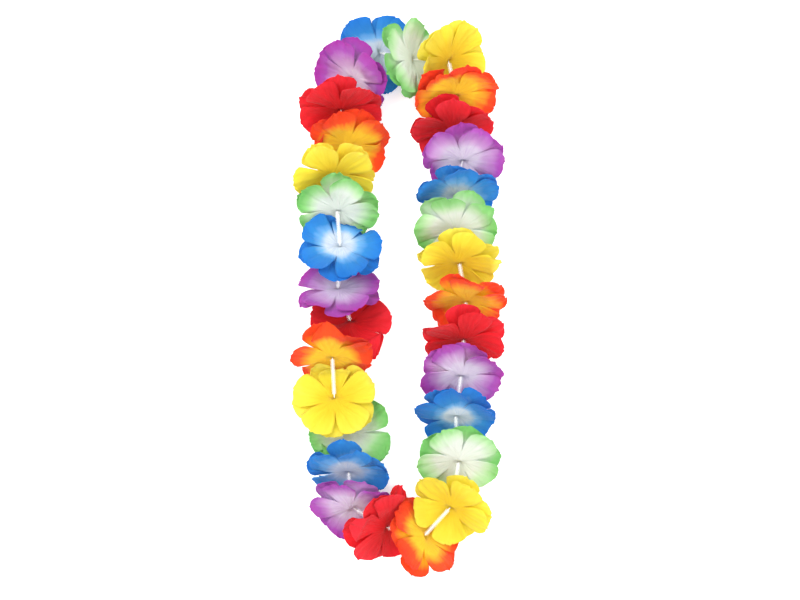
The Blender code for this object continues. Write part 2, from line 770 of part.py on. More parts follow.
def centre_pieces(pieces):
    """Slide the whole lei until the origin is under the middle of its box."""
    graph = bpy.context.evaluated_depsgraph_get()
    corners = [Vector(corner) for piece in pieces for corner in piece.evaluated_get(graph).bound_box]
    middle = [0.5 * (min(corner[axis] for corner in corners) + max(corner[axis] for corner in corners))
              for axis in range(2)]
    for piece in pieces:
        piece.data.transform(Matrix.Translation((-middle[0], -middle[1], 0.0)))


def make_lei():
    for old in list(bpy.data.objects):
        bpy.data.objects.remove(old)
    collection = bpy.data.collections.new("fabric_flower_lei")
    bpy.context.scene.collection.children.link(collection)
    fabric = {name: make_material(f"{name}_fabric", colour, 0.75)
              for name, colour in COLOURS.items()}
    clear_plastic = make_material("clear_straw", (0.93, 0.95, 0.96), 0.15, 0.45)
    white_cord = make_material("white_string", (0.88, 0.87, 0.83), 0.8)
    blooms = place_blooms()
    obstacles = Obstacles()
    laid = {}
    for before, after in zip(blooms, [*blooms[1:], blooms[0]]):
        tube = straw_tube(before.hub + before.ways[1] * 2.0, after.hub + after.ways[0] * 2.0)
        obstacles.add(tube, STRAW_ROOM)
        tube.free()
        core = straw_tube(before.hub + before.ways[1] * STRAW_CORE,
                          after.hub + after.ways[0] * STRAW_CORE)
        laid[after.number] = BVHTree.FromBMesh(core)
        core.free()
    knot, courses = tail_courses(blooms)
    for course in courses:
        tube = straw_tube(knot, knot + course * TAIL_LENGTH)
        obstacles.add(tube, LAYER_ROOM)
        tube.free()
    for bloom in blooms:
        reserve_place(bloom, obstacles)
    for number in LAYING_ORDER:
        bloom = blooms[number - 1]
        make_bloom(bloom, obstacles, laid, fabric[bloom.colour], collection)
    for number, (before, after) in enumerate(zip(blooms, blooms[1:]), start=1):
        start = straw_seat(before.hub, before.ways[1], laid[before])
        end = straw_seat(after.hub, after.ways[0], laid[after])
        make_straw(number, start, end, clear_plastic, collection)
    make_string(blooms, white_cord, collection)
    centre_pieces(list(collection.objects))


make_lei()
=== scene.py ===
"""Lei of thirty two-layer fabric flowers with clear straw spacers on a tied string.

The flowers are laid in the same order and by the same rules as their solids, and each is cut
from one finer blank whose margin, pleats and colour fade follow the cloth. Lengths of the
flowers' form are in millimetres, and become metres when a mesh is made.
"""
import math
import random

import bmesh
import bpy
import numpy as np
from mathutils import Matrix, Vector
from mathutils.bvhtree import BVHTree


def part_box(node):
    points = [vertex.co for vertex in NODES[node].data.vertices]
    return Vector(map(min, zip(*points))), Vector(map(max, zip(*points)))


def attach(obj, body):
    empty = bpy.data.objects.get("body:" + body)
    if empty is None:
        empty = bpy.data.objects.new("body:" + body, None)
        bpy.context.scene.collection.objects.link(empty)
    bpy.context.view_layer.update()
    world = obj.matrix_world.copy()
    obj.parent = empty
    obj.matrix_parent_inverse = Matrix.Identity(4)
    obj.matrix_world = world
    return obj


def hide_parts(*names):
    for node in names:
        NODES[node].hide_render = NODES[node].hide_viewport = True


bl_info = {
    "name": "Fabric flower lei",
    "version": (1, 0, 0),
    "blender": (4, 5, 0),
    "location": "3D View > Sidebar > Lei",
    "description": "Builds a lei of fabric flowers, straws and string round its solid parts",
    "category": "Object",
}

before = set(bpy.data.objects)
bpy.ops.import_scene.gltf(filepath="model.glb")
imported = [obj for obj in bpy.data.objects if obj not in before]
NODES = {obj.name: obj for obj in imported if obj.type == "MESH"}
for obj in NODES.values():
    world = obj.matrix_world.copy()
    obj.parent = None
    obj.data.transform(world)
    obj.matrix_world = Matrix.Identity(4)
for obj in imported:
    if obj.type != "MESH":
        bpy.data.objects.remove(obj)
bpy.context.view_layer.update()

MM = 0.001
UP = Vector((0.0, 0.0, 1.0))
ROOT = "root"

# Die-cut fabric layer: five lobes round a small hole
LOBES = 5
LOBE_STEP = math.tau / LOBES
RING = 2 * LOBES
CUT_RADIUS = 38.5
HOLE_RADIUS = 2.15
DISC_RADIUS = 12.0
TIP_NOTCH = 1.4
ROW_BOW = 1.2
LOBE_ROWS = ((20.5, 13.3), (31.0, 15.6), (CUT_RADIUS - 0.9, 8.2))
CAGE_ROWS = 2 + len(LOBE_ROWS)
LAYER_GAP = 2.4

# Straw spacers and string
SOLID_FABRIC_THICK = 0.7
STRAW_LENGTH = 31.0
STRAW_SPARE = 5.0
STRAW_RADIUS = 1.9
STRAW_SIDES = 6
TAIL_LENGTH = 8.0
TOUCH_GAP = 0.3
STRAW_FROM_HUB = 2.0

# How the two tails of the knot hang: along the string, to its side and down
TAIL_ALONG = 0.25
TAIL_ASIDE = 0.6
TAIL_DOWN = 0.7

# How the fabric lies on the surface and against what was laid down before it: the room that
# a lobe's course leaves to a surface, and the least that any of its cloth leaves
FLOOR_LEVEL = 0.25
LAYER_LIFT = 2.5
FLOOR_SOFT = 9.0
BLOOM_ROOM = (3.2, 1.4)
LAYER_ROOM = (1.5, 1.1)
STRAW_ROOM = (1.8, 1.1)
PLACE_ROOM = (3.0, 1.8)
SOFT_REACH = 7.0
DISC_OFF_STRAW = 5.0
RAISED_KEEP = 18.0
PLACE_SPREAD = math.radians(7.0)
MARCH_STEP = 1.0
ROW_TRIES = 40
ROW_SHIFT = 0.5
SHORTEST_ROW = 3.0
FOLD_STATION = 4
FOLD_TRIES = (0, 12, -12, 24, -24, 36, -36, 48, -48, 60, -60, 72, -72)
SIDE_PUSH = 0.6
ROW_PULL = 0.12
BACK_FLATTER = math.radians(5.0)

# Least slope of a lobe that is already too close to other cloth, or to the surface
OFF_CLOTH = 0.35
OFF_FLOOR = 0.3

# Ripples along a lobe's sides: their length, and how much they slant across it
RIPPLE_LENGTH = 19.0
RIPPLE_SLANT = 0.16

# Rounds in which the hubs settle, and how much of the way home each goes in one of them
HUB_ROUNDS = 400
HUB_RETURN = 0.05

COLOUR_ORDER = ("green", "blue", "purple", "red", "orange", "yellow")

# One row for each bloom, in the order on the string: hub across, along and up; the heading
# that its face looks to, in degrees from X; its lean from lying flat; how far its lobes cup;
# how far the raised lobes droop; the heading of one front lobe; the turn of the back layer;
# and which of its draws of small differences lies clear of its neighbours.
BLOOM_ROWS = (
    (8, 209, 20, 20, 50, 14, -10, 100, 30, 4),
    (-17, 213, 15, 60, 24, 0, -30, 60, 8, 3),
    (-44, 190, 18, 225, 50, 6, -8, 110, 34, 0),
    (-51, 163, 22, 270, 52, 4, -8, 140, 30, 3),
    (-50, 136, 20, 268, 52, -4, -6, 118, 36, 3),
    (-57, 110, 24, 272, 56, 4, -8, 126, 12, 0),
    (-57, 78, 19, 270, 46, 6, -8, 64, 20, 0),
    (-54, 43, 25, 88, 43, 7, -12, 3, 36, 0),
    (-56, 6, 20, 90, 54, 6, -10, 165, 32, 1),
    (-45, -22, 15, 80, 24, -6, -14, 84, 8, 14),
    (-61, -52, 23, 275, 50, 0, -8, 228, 24, 0),
    (-59, -89, 25, 90, 25, 4, -10, 94, 22, 12),
    (-45, -120, 14, 110, 24, 3, -26, 110, 8, 15),
    (-47, -152, 20, 265, 50, 10, -8, 70, 30, 1),
    (-44, -184, 20, 258, 50, 4, -8, 120, 30, 3),
    (-15, -201, 24, 320, 43, -2, -8, 80, 30, 3),
    (19, -210, 19, 30, 50, 4, -8, 225, 34, 1),
    (43, -184, 24, 235, 40, 8, -8, 273, 14, 2),
    (50, -142, 20, 272, 36, 4, -8, 120, 34, 4),
    (47, -103, 20, 270, 50, 6, -8, 102, 32, 0),
    (52, -68, 20, 270, 44, 6, -8, 125, 30, 0),
    (54, -36, 22, 270, 52, 8, -8, 60, 34, 0),
    (56, -3, 20, 268, 56, 8, -8, 90, 30, 0),
    (50, 31, 22, 272, 50, 6, -8, 65, 36, 0),
    (47, 63, 22, 270, 44, 4, -8, 110, 36, 0),
    (49, 92, 18, 270, 60, 6, -8, 80, 30, 1),
    (51, 121, 23, 270, 44, 4, -8, 60, 34, 0),
    (46, 148, 18, 272, 54, 8, -8, 90, 32, 2),
    (46, 176, 24, 280, 50, 6, -8, 130, 34, 0),
    (36, 205, 20, 320, 48, 6, -8, 120, 30, 0),
)

# The order in which the blooms come down on the surface, the lowest first
LAYING_ORDER = (2, 10, 13, *range(30, 18, -1), 17, 18, 16, 15, 14, 11, 12, 9, 7, 8, 6, 5, 4, 3, 1)
BLOOM_COUNT = len(BLOOM_ROWS)

# Seed of the small differences, and how much calmer each further draw of them is
SEED = 52
CALMER = 0.06


class Bloom:
    """Where one bloom sits on the string, how it leans and how each lobe bends."""

    def __init__(self, number, row):
        (x, y, z, heading, lean, cup, droop, spin, turn, attempt) = row
        self.number = number
        self.colour = COLOUR_ORDER[number % len(COLOUR_ORDER)]
        self.hub = Vector((x, y, z))
        facing, tilt = math.radians(heading), math.radians(lean)
        self.normal = Vector((math.sin(tilt) * math.cos(facing),
                              math.sin(tilt) * math.sin(facing), math.cos(tilt)))
        self.cup = math.radians(cup)
        self.droop = math.radians(droop)
        self.spin = {1: math.radians(spin), -1: math.radians(spin + turn)}
        self.ways, self.facing = (), self.normal
        draw = random.Random(SEED + self.number + BLOOM_COUNT * attempt)
        spread = 1.0 - CALMER * attempt
        self.lobes = {side: [lobe_habit(draw, spread) for _ in range(LOBES)] for side in (1, -1)}

    def name(self):
        return f"bloom_{self.number + 1:02d}_{self.colour}"


def lobe_habit(draw, spread):
    """The small differences that make one lobe of crumpled fabric unlike the next."""
    return {
        "raise": math.radians(spread * draw.uniform(-8.0, 9.6)),
        "curl": math.radians(spread * draw.uniform(-25.6, 22.4)),
        "twist": math.radians(spread * draw.uniform(-22.4, 22.4)),
        "bowl": spread * draw.uniform(-2.6, 3.8),
        "wave": draw.uniform(0.7, 1.3),
        "phase": draw.uniform(0.0, math.tau),
    }


def turn_half_angle(before, here, after):
    """Half the angle through which the string turns at a hub."""
    return 0.5 * (here - before).angle(after - here)


def straw_standoff(half_angle):
    """From a hub's centre to the end of the straw that butts against its fabric."""
    face = 0.5 * (LAYER_GAP + SOLID_FABRIC_THICK) + TOUCH_GAP
    return (face + STRAW_RADIUS * math.sin(half_angle)) / math.cos(half_angle)


def settle_hubs(hubs):
    """Slide the hubs along the loop until every gap takes a straw of about the cut length."""
    wanted = [hub.copy() for hub in hubs]
    count = len(hubs)
    for turn in range(HUB_ROUNDS):
        standoffs = [straw_standoff(turn_half_angle(hubs[i - 1], hubs[i], hubs[(i + 1) % count]))
                     for i in range(count)]
        for i in range(count):
            after = (i + 1) % count
            span = hubs[after] - hubs[i]
            error = span.length - STRAW_LENGTH - standoffs[i] - standoffs[after]
            error = math.copysign(max(0.0, abs(error) - STRAW_SPARE), error)
            fix = span * (0.5 * error / span.length)
            hubs[i] += fix
            hubs[after] -= fix
        if turn < HUB_ROUNDS // 2:
            for hub, home in zip(hubs, wanted):
                hub += (home - hub) * HUB_RETURN
    return hubs


def level_part(vector):
    flat = Vector((vector.x, vector.y, 0.0))
    return flat.normalized()


def smooth(value, low, high):
    part = min(1.0, max(0.0, (value - low) / (high - low)))
    return part * part * (3.0 - 2.0 * part)


def petal_heading(bloom, azimuth):
    """Unit vector in the bloom's plane that points to this heading as seen from above."""
    flat = Vector((math.cos(azimuth), math.sin(azimuth), 0.0))
    drop = -flat.dot(bloom.normal) / bloom.normal.z
    return (flat + UP * drop).normalized()


def lobe_axes(bloom, side):
    """The five lobe directions of one layer, an equal step apart in the bloom's plane."""
    first = petal_heading(bloom, bloom.spin[side])
    return [Matrix.Rotation(LOBE_STEP * i, 3, bloom.normal) @ first for i in range(LOBES)]


def lobe_lift(bloom, side, axis, habit):
    """Angle that a lobe makes with the bloom's plane where it leaves the disc."""
    spread = bloom.cup if side > 0 else bloom.cup - BACK_FLATTER
    return spread + habit["raise"] + bloom.droop * max(0.0, axis.z)


def layer_floor(side):
    return FLOOR_LEVEL + (LAYER_LIFT if side > 0 else 0.0)


def half_width(reach):
    """Half the width of a lobe of the flat pattern at this distance from the hole's centre."""
    rows = ((DISC_RADIUS, DISC_RADIUS * math.sin(0.5 * LOBE_STEP)), *LOBE_ROWS)
    for (near, wide), (far, narrow) in zip(rows, rows[1:]):
        if reach <= far:
            part = (reach - near) / (far - near)
            return wide + (narrow - wide) * part
    return rows[-1][1]


class Obstacles:
    """The surfaces already laid down, each with the room that a new lobe leaves to it."""

    def __init__(self, surfaces=()):
        self.surfaces = list(surfaces)

    def add(self, bm, rooms, owner=None):
        low = [min(vert.co[axis] for vert in bm.verts) for axis in range(3)]
        high = [max(vert.co[axis] for vert in bm.verts) for axis in range(3)]
        self.surfaces.append((BVHTree.FromBMesh(bm), rooms, low, high, owner))

    def without(self, owner):
        return Obstacles(surface for surface in self.surfaces if surface[4] is not owner)

    def clear_of(self, owner):
        """Give up the place that was kept for a bloom, once the bloom itself is laid."""
        self.surfaces = self.without(owner).surfaces

    def around(self, point, reach):
        for tree, (room, least), low, high, _ in self.surfaces:
            margin = reach + room
            if all(low[i] - margin < point[i] < high[i] + margin for i in range(3)):
                yield tree, room, least

    def near(self, point, reach):
        """Signed room to each surface within reach, with the way out from it."""
        for tree, room, _ in self.around(point, reach):
            place, _, _, distance = tree.find_nearest(point, reach + room)
            if place is not None and distance > 0.01:
                yield distance - room, (point - place) / distance

    def closeness(self, start, end):
        """How much a straight way from start to end is short of room: 0 where it is clear."""
        span = end - start
        worst = 0.0
        for tree, room, _ in self.around(start, span.length):
            hit = tree.ray_cast(start, span.normalized(), span.length + 0.5 * room)
            if hit[0] is not None:
                worst = max(worst, span.length + room - hit[3])
            for place in (end, start.lerp(end, 0.6)):
                distance = tree.find_nearest(place, 0.8 * room)[3]
                if distance is not None:
                    worst = max(worst, 0.8 * room - distance)
        return worst

    def ways_out(self, inner, outer):
        """Directions in which a strip of cloth has to move to clear what it crosses."""
        strip = BVHTree.FromPolygons(
            [*inner, *outer], [(0, 1, 4), (0, 4, 3), (1, 2, 4), (2, 5, 4)])
        samples = [near.lerp(far, part) for near, far in cloth_pairs(inner, outer)
                   for part in (0.25, 0.5, 0.75, 1.0)]
        root, middle = inner[1], outer[1]
        found = []
        for tree, _, least in self.around(middle, (middle - root).length + 12.0):
            close = any(tree.find_nearest(sample, least)[0] is not None for sample in samples)
            if close or tree.overlap(strip):
                way_out = root - tree.find_nearest(root)[0]
                span = middle - root
                if tree.ray_cast(root, span.normalized(), span.length)[0] is None:
                    beyond = middle - tree.find_nearest(middle)[0]
                    way_out = way_out.normalized() + beyond.normalized()
                if way_out.length > 0.01:
                    found.append(way_out.normalized())
        return found


def cloth_pairs(inner, outer):
    """Lines across a strip of cloth from its inner corners to its outer ones."""
    halves = [inner[0].lerp(inner[1], 0.5), inner[1].lerp(inner[2], 0.5)]
    far_halves = [outer[0].lerp(outer[1], 0.5), outer[1].lerp(outer[2], 0.5)]
    return [*zip(inner, outer), *zip(halves, far_halves)]


def steer(obstacles, side, point, heading):
    """Turn a lobe's course along whatever it comes close to, and along the surface."""
    for room, outward in obstacles.near(point, SOFT_REACH):
        closing = heading.dot(outward)
        allowed = -min(1.0, room / SOFT_REACH) if room > 0.0 else OFF_CLOTH
        if closing < allowed:
            heading = (heading + outward * (allowed - closing)).normalized()
    room = point.z - layer_floor(side)
    least = -room / FLOOR_SOFT
    least = max(-1.0, least) if room > 0.0 else min(OFF_FLOOR, least)
    if heading.z < least:
        level = level_part(heading) * math.sqrt(1.0 - least * least)
        heading = level + UP * least
    return heading


def off_straws(bloom, side, point, nearest):
    """Press a point of the disc back until it clears the straw that leaves on its side."""
    for way in bloom.ways:
        before = 1 if way.dot(bloom.normal) > 0.0 else -1
        square = bloom.normal * before
        clear = nearest if side == before else nearest + LAYER_GAP
        rise = way.dot(square)
        run = math.sqrt(max(0.0, 1.0 - rise * rise))
        if run < 0.1:
            continue
        along = (way - square * rise) / run
        reach = point - bloom.hub
        beside = reach.dot(square.cross(along))
        ahead = reach.dot(along)
        if ahead > 0.0 and abs(beside) < clear:
            most = (ahead * rise - math.sqrt(clear * clear - beside * beside)) / run
            point = point - square * max(0.0, reach.dot(square) - most)
    return point


class Layer:
    """One die-cut layer of a bloom, in front (side 1) or behind (side -1)."""

    def __init__(self, bloom, side, obstacles):
        self.bloom, self.side, self.obstacles = bloom, side, obstacles
        self.axes = lobe_axes(bloom, side)
        self.lifts = [lobe_lift(bloom, side, axis, habit)
                      for axis, habit in zip(self.axes, bloom.lobes[side])]
        self.offset = 0.5 * LAYER_GAP * side
        self.lobes = [Lobe(self, index) for index in range(LOBES)]

    def disc_point(self, radius, lobe_turn):
        """A point of the uncut middle, at this radius and this many lobe steps round."""
        first, part = int(lobe_turn) % LOBES, lobe_turn - int(lobe_turn)
        blend = 0.5 - 0.5 * math.cos(math.pi * part)
        lift = self.lifts[first] * (1.0 - blend) + self.lifts[(first + 1) % LOBES] * blend
        angle = 0.5 * lift * radius / DISC_RADIUS
        normal = self.bloom.normal
        axis = Matrix.Rotation(LOBE_STEP * part, 3, normal) @ self.axes[first]
        point = radius * (axis * math.cos(angle) + normal * math.sin(angle))
        nearest = DISC_OFF_STRAW * radius / DISC_RADIUS
        return off_straws(self.bloom, self.side,
                          self.bloom.hub + normal * self.offset + point, nearest)

    def hole_point(self, lobe_turn):
        """A point of the hole's rim, which the straws hold square to the string."""
        first, part = int(lobe_turn) % LOBES, lobe_turn - int(lobe_turn)
        bloom = self.bloom
        axis = Matrix.Rotation(LOBE_STEP * part, 3, bloom.normal) @ self.axes[first]
        square = bloom.normal.rotation_difference(bloom.facing) @ axis
        return bloom.hub + bloom.facing * self.offset + square * HOLE_RADIUS


class Lobe:
    """One lobe's spine, followed outward from the disc, with the way across it."""

    def __init__(self, layer, index):
        self.layer, self.side = layer, layer.side
        self.axis, self.lift = layer.axes[index], layer.lifts[index]
        normal, droop = layer.bloom.normal, layer.bloom.droop * max(0.0, self.axis.z)
        self.habit = layer.bloom.lobes[layer.side][index]
        self.across = normal.cross(self.axis)
        point = layer.disc_point(DISC_RADIUS, index)
        self.points, self.headings = [point], []
        steps = int(math.ceil((CUT_RADIUS + 2.0 - DISC_RADIUS) / MARCH_STEP))
        for step in range(steps):
            out = step * MARCH_STEP / (CUT_RADIUS - DISC_RADIUS)
            angle = self.lift + (self.habit["curl"] + droop) * out
            heading = self.axis * math.cos(angle) + normal * math.sin(angle)
            heading = steer(layer.obstacles, self.side, point, heading)
            self.headings.append(heading)
            point = point + heading * MARCH_STEP
            self.points.append(point)
        self.folds = {hand: self.fold_course(hand) for hand in (1, -1)}

    def frame_at(self, step):
        """Along, across and face directions at a step of the spine, and how flat it lies."""
        spine, heading = self.points[step], self.headings[step]
        level = 1.0 - smooth(spine.z - layer_floor(self.side), 0.0, FLOOR_SOFT)
        across = self.across.lerp(level_part(self.across), level)
        across = (across - heading * across.dot(heading)).normalized()
        out = step * MARCH_STEP / (CUT_RADIUS - DISC_RADIUS)
        twist = self.habit["twist"] * out * (1.0 - level)
        facing = heading.cross(across)
        across, facing = (across * math.cos(twist) + facing * math.sin(twist),
                          facing * math.cos(twist) - across * math.sin(twist))
        return heading, across, facing, level

    def fold_course(self, hand):
        """How far one half of the lobe folds about the spine, at stations along it."""
        course = []
        for step in range(0, len(self.headings), FOLD_STATION):
            _, across, facing, _ = self.frame_at(step)
            wide = half_width(DISC_RADIUS + step * MARCH_STEP)
            course.append(self.least_fold(self.points[step], across * hand, facing, wide))
        padded = [course[0], *course, course[-1]]
        return [0.25 * before + 0.5 * here + 0.25 * after
                for before, here, after in zip(padded, padded[1:], padded[2:])]

    def least_fold(self, spine, across, facing, wide):
        best, least = 0.0, math.inf
        for degrees in FOLD_TRIES:
            turn = math.radians(degrees)
            edge = spine + wide * (across * math.cos(turn) + facing * math.sin(turn))
            short = max(self.layer.obstacles.closeness(spine, edge),
                        layer_floor(self.side) - 0.6 - edge.z)
            if short <= 0.0:
                return turn
            if short < least:
                best, least = turn, short
        return best

    def at(self, reach, width):
        """Place of a point of the flat pattern, from its distances along and across the lobe."""
        steps = max(0.0, (reach - DISC_RADIUS) / MARCH_STEP)
        whole = min(int(steps), len(self.headings) - 1)
        spine = self.points[whole].lerp(self.points[whole + 1], steps - whole)
        _, across, facing, level = self.frame_at(whole)
        edge = abs(width) / LOBE_ROWS[1][1]
        course = self.folds[1 if width >= 0.0 else -1]
        station = min(steps / FOLD_STATION, len(course) - 1.001)
        low = int(station)
        fold = course[low] + (course[low + 1] - course[low]) * (station - low)
        turn = fold * smooth(edge, 0.0, 0.6)
        bulge = self.habit["bowl"] * edge * edge * (1.0 - 0.6 * level)
        ripple = math.sin(math.tau * reach / RIPPLE_LENGTH + self.habit["phase"]
                          + width * RIPPLE_SLANT)
        out = (reach - DISC_RADIUS) / (CUT_RADIUS - DISC_RADIUS)
        bulge += self.habit["wave"] * edge * out * ripple
        sideways = width * math.cos(turn)
        outward = abs(width) * math.sin(turn) + bulge
        return self.kept_clear(spine + across * sideways + facing * outward)

    def kept_clear(self, point):
        """Keep a point of a lobe's side off the surface and off what lies there already."""
        for room, outward in self.layer.obstacles.near(point, 0.0):
            point = point - outward * (SIDE_PUSH * room)
        lowest = layer_floor(self.side)
        if point.z < lowest:
            point = Vector((point.x, point.y, lowest))
        return point


def row_pattern(reach, width):
    """One row of a lobe on the flat pattern: its two corners, and its middle between them."""
    middle = reach - TIP_NOTCH if reach == LOBE_ROWS[-1][0] else reach + ROW_BOW
    return (reach, -width), (middle, 0.0), (reach, width)


def grow_layer(bm, layer):
    """One layer's cage: a ring round the hole, the disc, and five lobes extruded from it."""
    hole = bmesh.ops.create_circle(bm, segments=RING, radius=1.0)["verts"]
    hole_edges = [bm.edges.get((hole[i], hole[(i + 1) % RING])) for i in range(RING)]
    disc = extrude_row(bm, hole_edges, hole)
    for i in range(RING):
        hole[i].co = layer.hole_point(0.5 * i)
        disc[i].co = layer.disc_point(DISC_RADIUS, 0.5 * i)
    layer.cage = [vert.co.copy() for vert in (*hole, *disc)]
    for i, lobe in enumerate(layer.lobes):
        row = [disc[(2 * i - 1) % RING], disc[2 * i], disc[2 * i + 1]]
        for reach, width in LOBE_ROWS:
            edges = [bm.edges.get((row[0], row[1])), bm.edges.get((row[1], row[2]))]
            inner = [vert.co.copy() for vert in row]
            row = extrude_row(bm, edges, row)
            places = [lobe.at(out, side) for out, side in row_pattern(reach, width)]
            for vert, place in zip(row, clear_row(layer, inner, places)):
                vert.co = place
            layer.cage += [vert.co.copy() for vert in row]
    return hole_edges


def clear_row(layer, inner, outer):
    """Move a lobe's next row of corners until the cloth up to it passes what lies there."""
    lowest = layer_floor(layer.side)
    for attempt in range(ROW_TRIES):
        ways_out = layer.obstacles.ways_out(inner, outer)
        if not ways_out:
            break
        for way_out in ways_out:
            outer = [corner + way_out * ROW_SHIFT for corner in outer]
        if attempt > ROW_TRIES // 3 and (outer[1] - inner[1]).length > SHORTEST_ROW:
            outer = [corner.lerp(root, ROW_PULL) for corner, root in zip(outer, inner)]
        outer = [Vector((corner.x, corner.y, max(corner.z, lowest))) for corner in outer]
    return outer


def extrude_row(bm, edges, verts):
    """Extrude a row of edges and return its new corners in the order of the old ones."""
    grown = bmesh.ops.extrude_edge_only(bm, edges=edges)["geom"]
    fresh = {item for item in grown if isinstance(item, bmesh.types.BMVert)}
    return [next(edge.other_vert(vert) for edge in vert.link_edges
                 if edge.other_vert(vert) in fresh) for vert in verts]


def reserve_place(bloom, obstacles):
    """Keep a bloom's middle, and its raised side, free of the lobes that are laid before it."""
    flat_side = level_part(bloom.normal)
    uphill = (UP * bloom.normal.dot(flat_side) - flat_side * bloom.normal.z).normalized()
    for side in (1, -1):
        bm = bmesh.new()
        rim = bmesh.ops.create_circle(bm, cap_ends=True, segments=16, radius=1.0)["verts"]
        bmesh.ops.poke(bm, faces=bm.faces)
        centre = next(vert for vert in bm.verts if vert not in rim)
        centre.co = bloom.hub + bloom.normal * (0.5 * LAYER_GAP * side)
        angle = bloom.cup + (PLACE_SPREAD if side > 0 else -1.5 * PLACE_SPREAD)
        for i, vert in enumerate(rim):
            axis = Matrix.Rotation(math.tau * i / len(rim), 3, bloom.normal) @ uphill
            radius = DISC_RADIUS + RAISED_KEEP * (0.5 + 0.5 * axis.dot(uphill))
            vert.co = centre.co + radius * (axis * math.cos(angle) + bloom.normal * math.sin(angle))
        obstacles.add(bm, PLACE_ROOM, bloom)
        bm.free()


def grow_bloom(bloom, obstacles):
    """Two layers' cages, joined by the short sleeve of fabric at the hole."""
    bm = bmesh.new()
    others = obstacles.without(bloom)
    back = Layer(bloom, -1, others)
    rims = grow_layer(bm, back)
    others.add(bm, LAYER_ROOM)
    front = Layer(bloom, 1, others)
    rims += grow_layer(bm, front)
    bloom.layers = (back, front)
    bmesh.ops.bridge_loops(bm, edges=rims)
    bmesh.ops.triangulate(bm, faces=bm.faces, quad_method="FIXED")
    bmesh.ops.recalc_face_normals(bm, faces=bm.faces)
    return bm


def straw_tube(start, end):
    """An open tube between two points of the string, in millimetres."""
    bm = bmesh.new()
    bmesh.ops.create_cone(bm, segments=STRAW_SIDES, radius1=STRAW_RADIUS, radius2=STRAW_RADIUS,
                          depth=(end - start).length, cap_ends=False)
    flats_up = Matrix.Rotation(math.pi / STRAW_SIDES, 4, "Z")
    place = (Matrix.Translation(start.lerp(end, 0.5))
             @ (end - start).to_track_quat("Z", "Y").to_matrix().to_4x4() @ flats_up)
    bmesh.ops.transform(bm, matrix=place, verts=bm.verts)
    return bm


def tail_courses(blooms):
    """Where the knot sits, and the ways that its two cut tails hang from it."""
    last, first = blooms[-1].hub, blooms[0].hub
    along = (first - last).normalized()
    side = along.cross(UP).normalized()
    courses = [(along * sign * TAIL_ALONG - UP * TAIL_DOWN + side * TAIL_ASIDE * sign).normalized()
               for sign in (-1.0, 1.0)]
    return last.lerp(first, 0.5), courses


def place_blooms():
    """Read the rows, settle the hubs on the string and note which way it leaves each."""
    blooms = [Bloom(number, row) for number, row in enumerate(BLOOM_ROWS)]
    hubs = settle_hubs([bloom.hub for bloom in blooms])
    for bloom, hub in zip(blooms, hubs):
        bloom.hub = hub
    for i, bloom in enumerate(blooms):
        back = (hubs[i - 1] - bloom.hub).normalized()
        ahead = (hubs[(i + 1) % BLOOM_COUNT] - bloom.hub).normalized()
        bloom.ways = (back, ahead)
        string_way = (ahead - back).normalized()
        bloom.facing = string_way if string_way.dot(bloom.normal) > 0.0 else -string_way
    return blooms


def lay_blooms():
    """Lay every bloom's cage in the order in which the blooms come down on the surface."""
    blooms = place_blooms()
    obstacles = Obstacles()
    for before, after in zip(blooms, [*blooms[1:], blooms[0]]):
        tube = straw_tube(before.hub + before.ways[1] * STRAW_FROM_HUB,
                          after.hub + after.ways[0] * STRAW_FROM_HUB)
        obstacles.add(tube, STRAW_ROOM)
        tube.free()
    knot, courses = tail_courses(blooms)
    for course in courses:
        tube = straw_tube(knot, knot + course * TAIL_LENGTH)
        obstacles.add(tube, LAYER_ROOM)
        tube.free()
    for bloom in blooms:
        reserve_place(bloom, obstacles)
    for number in LAYING_ORDER:
        bloom = blooms[number - 1]
        bm = grow_bloom(bloom, obstacles)
        obstacles.clear_of(bloom)
        obstacles.add(bm, BLOOM_ROOM, bloom)
        bm.free()
    return blooms


# The finer blank: columns across a lobe, and rows from hole to disc and from there to its tip
BLANK_COLUMNS = 18
DISC_STEPS = 5
LOBE_STEPS = 20
PATTERN_SPAN = 100.0
FABRIC_THICK = 0.26
CAGE_CORNERS = 2 * RING + LOBES * len(LOBE_ROWS) * 3
WELD = 0.02
FLOOR_CLEAR = 0.02
LAYER_STEP = 0.6

# The tip of a lobe, in rows of the cage: how far it passes the last row, how far its sides draw
# back, and the depth, turns and start of each set of scallops
TIP_REACH = 0.22
TIP_ROUND = 1.45
SCALLOPS = ((0.08, 9.5, 0.6), (0.045, 17.0, -1.1))

# How far the print is off the cloth's middle, and how much smaller or larger it is
PRINT_OFF = 0.03
PRINT_SPREAD = (0.86, 1.12)

# Straws and string as they show
FINE_STRAW_SIDES = 32
STRAW_WALL = 0.25
PLY_COUNT = 3
PLY_RADIUS = 0.2
PLY_OFFSET = 0.215
PLY_TURN = 4.2
PLY_STEPS = 8

# Turns across a lobe and height in millimetres of each set of pleats, and how high the cloth
# waves at its margin and along the sides of a lobe
PLEATS = ((3.4, 0.40), (6.3, 0.27), (10.5, 0.15))
MARGIN_WAVE = 0.75
SIDE_WAVE = 0.7

# Marks that every point of the blank carries
MARKS = ("lobe", "across", "along")

# Wraps of the knot: how far along the string each lies, and how far it leans
KNOT_WRAPS = ((-0.75, 0.35), (0.0, -0.3), (0.75, 0.35))
KNOT_RADIUS = 1.15
KNOT_STEPS = 14

# The printed fade: spokes round a flower, and how far blotches and spokes move its edge
SPOKES = 9.0
WANDER = 0.20
FEATHER = 0.07
THREADS = 38.0

# The camera looks straight down from where the photo was taken
VIEW_HEIGHT = 1.6
VIEW_WIDTH = 0.70
SENSOR_WIDTH = 36.0
VIEW_CENTRE = (-1.75, -2.6)
CLOTH_LEVEL = 22.0

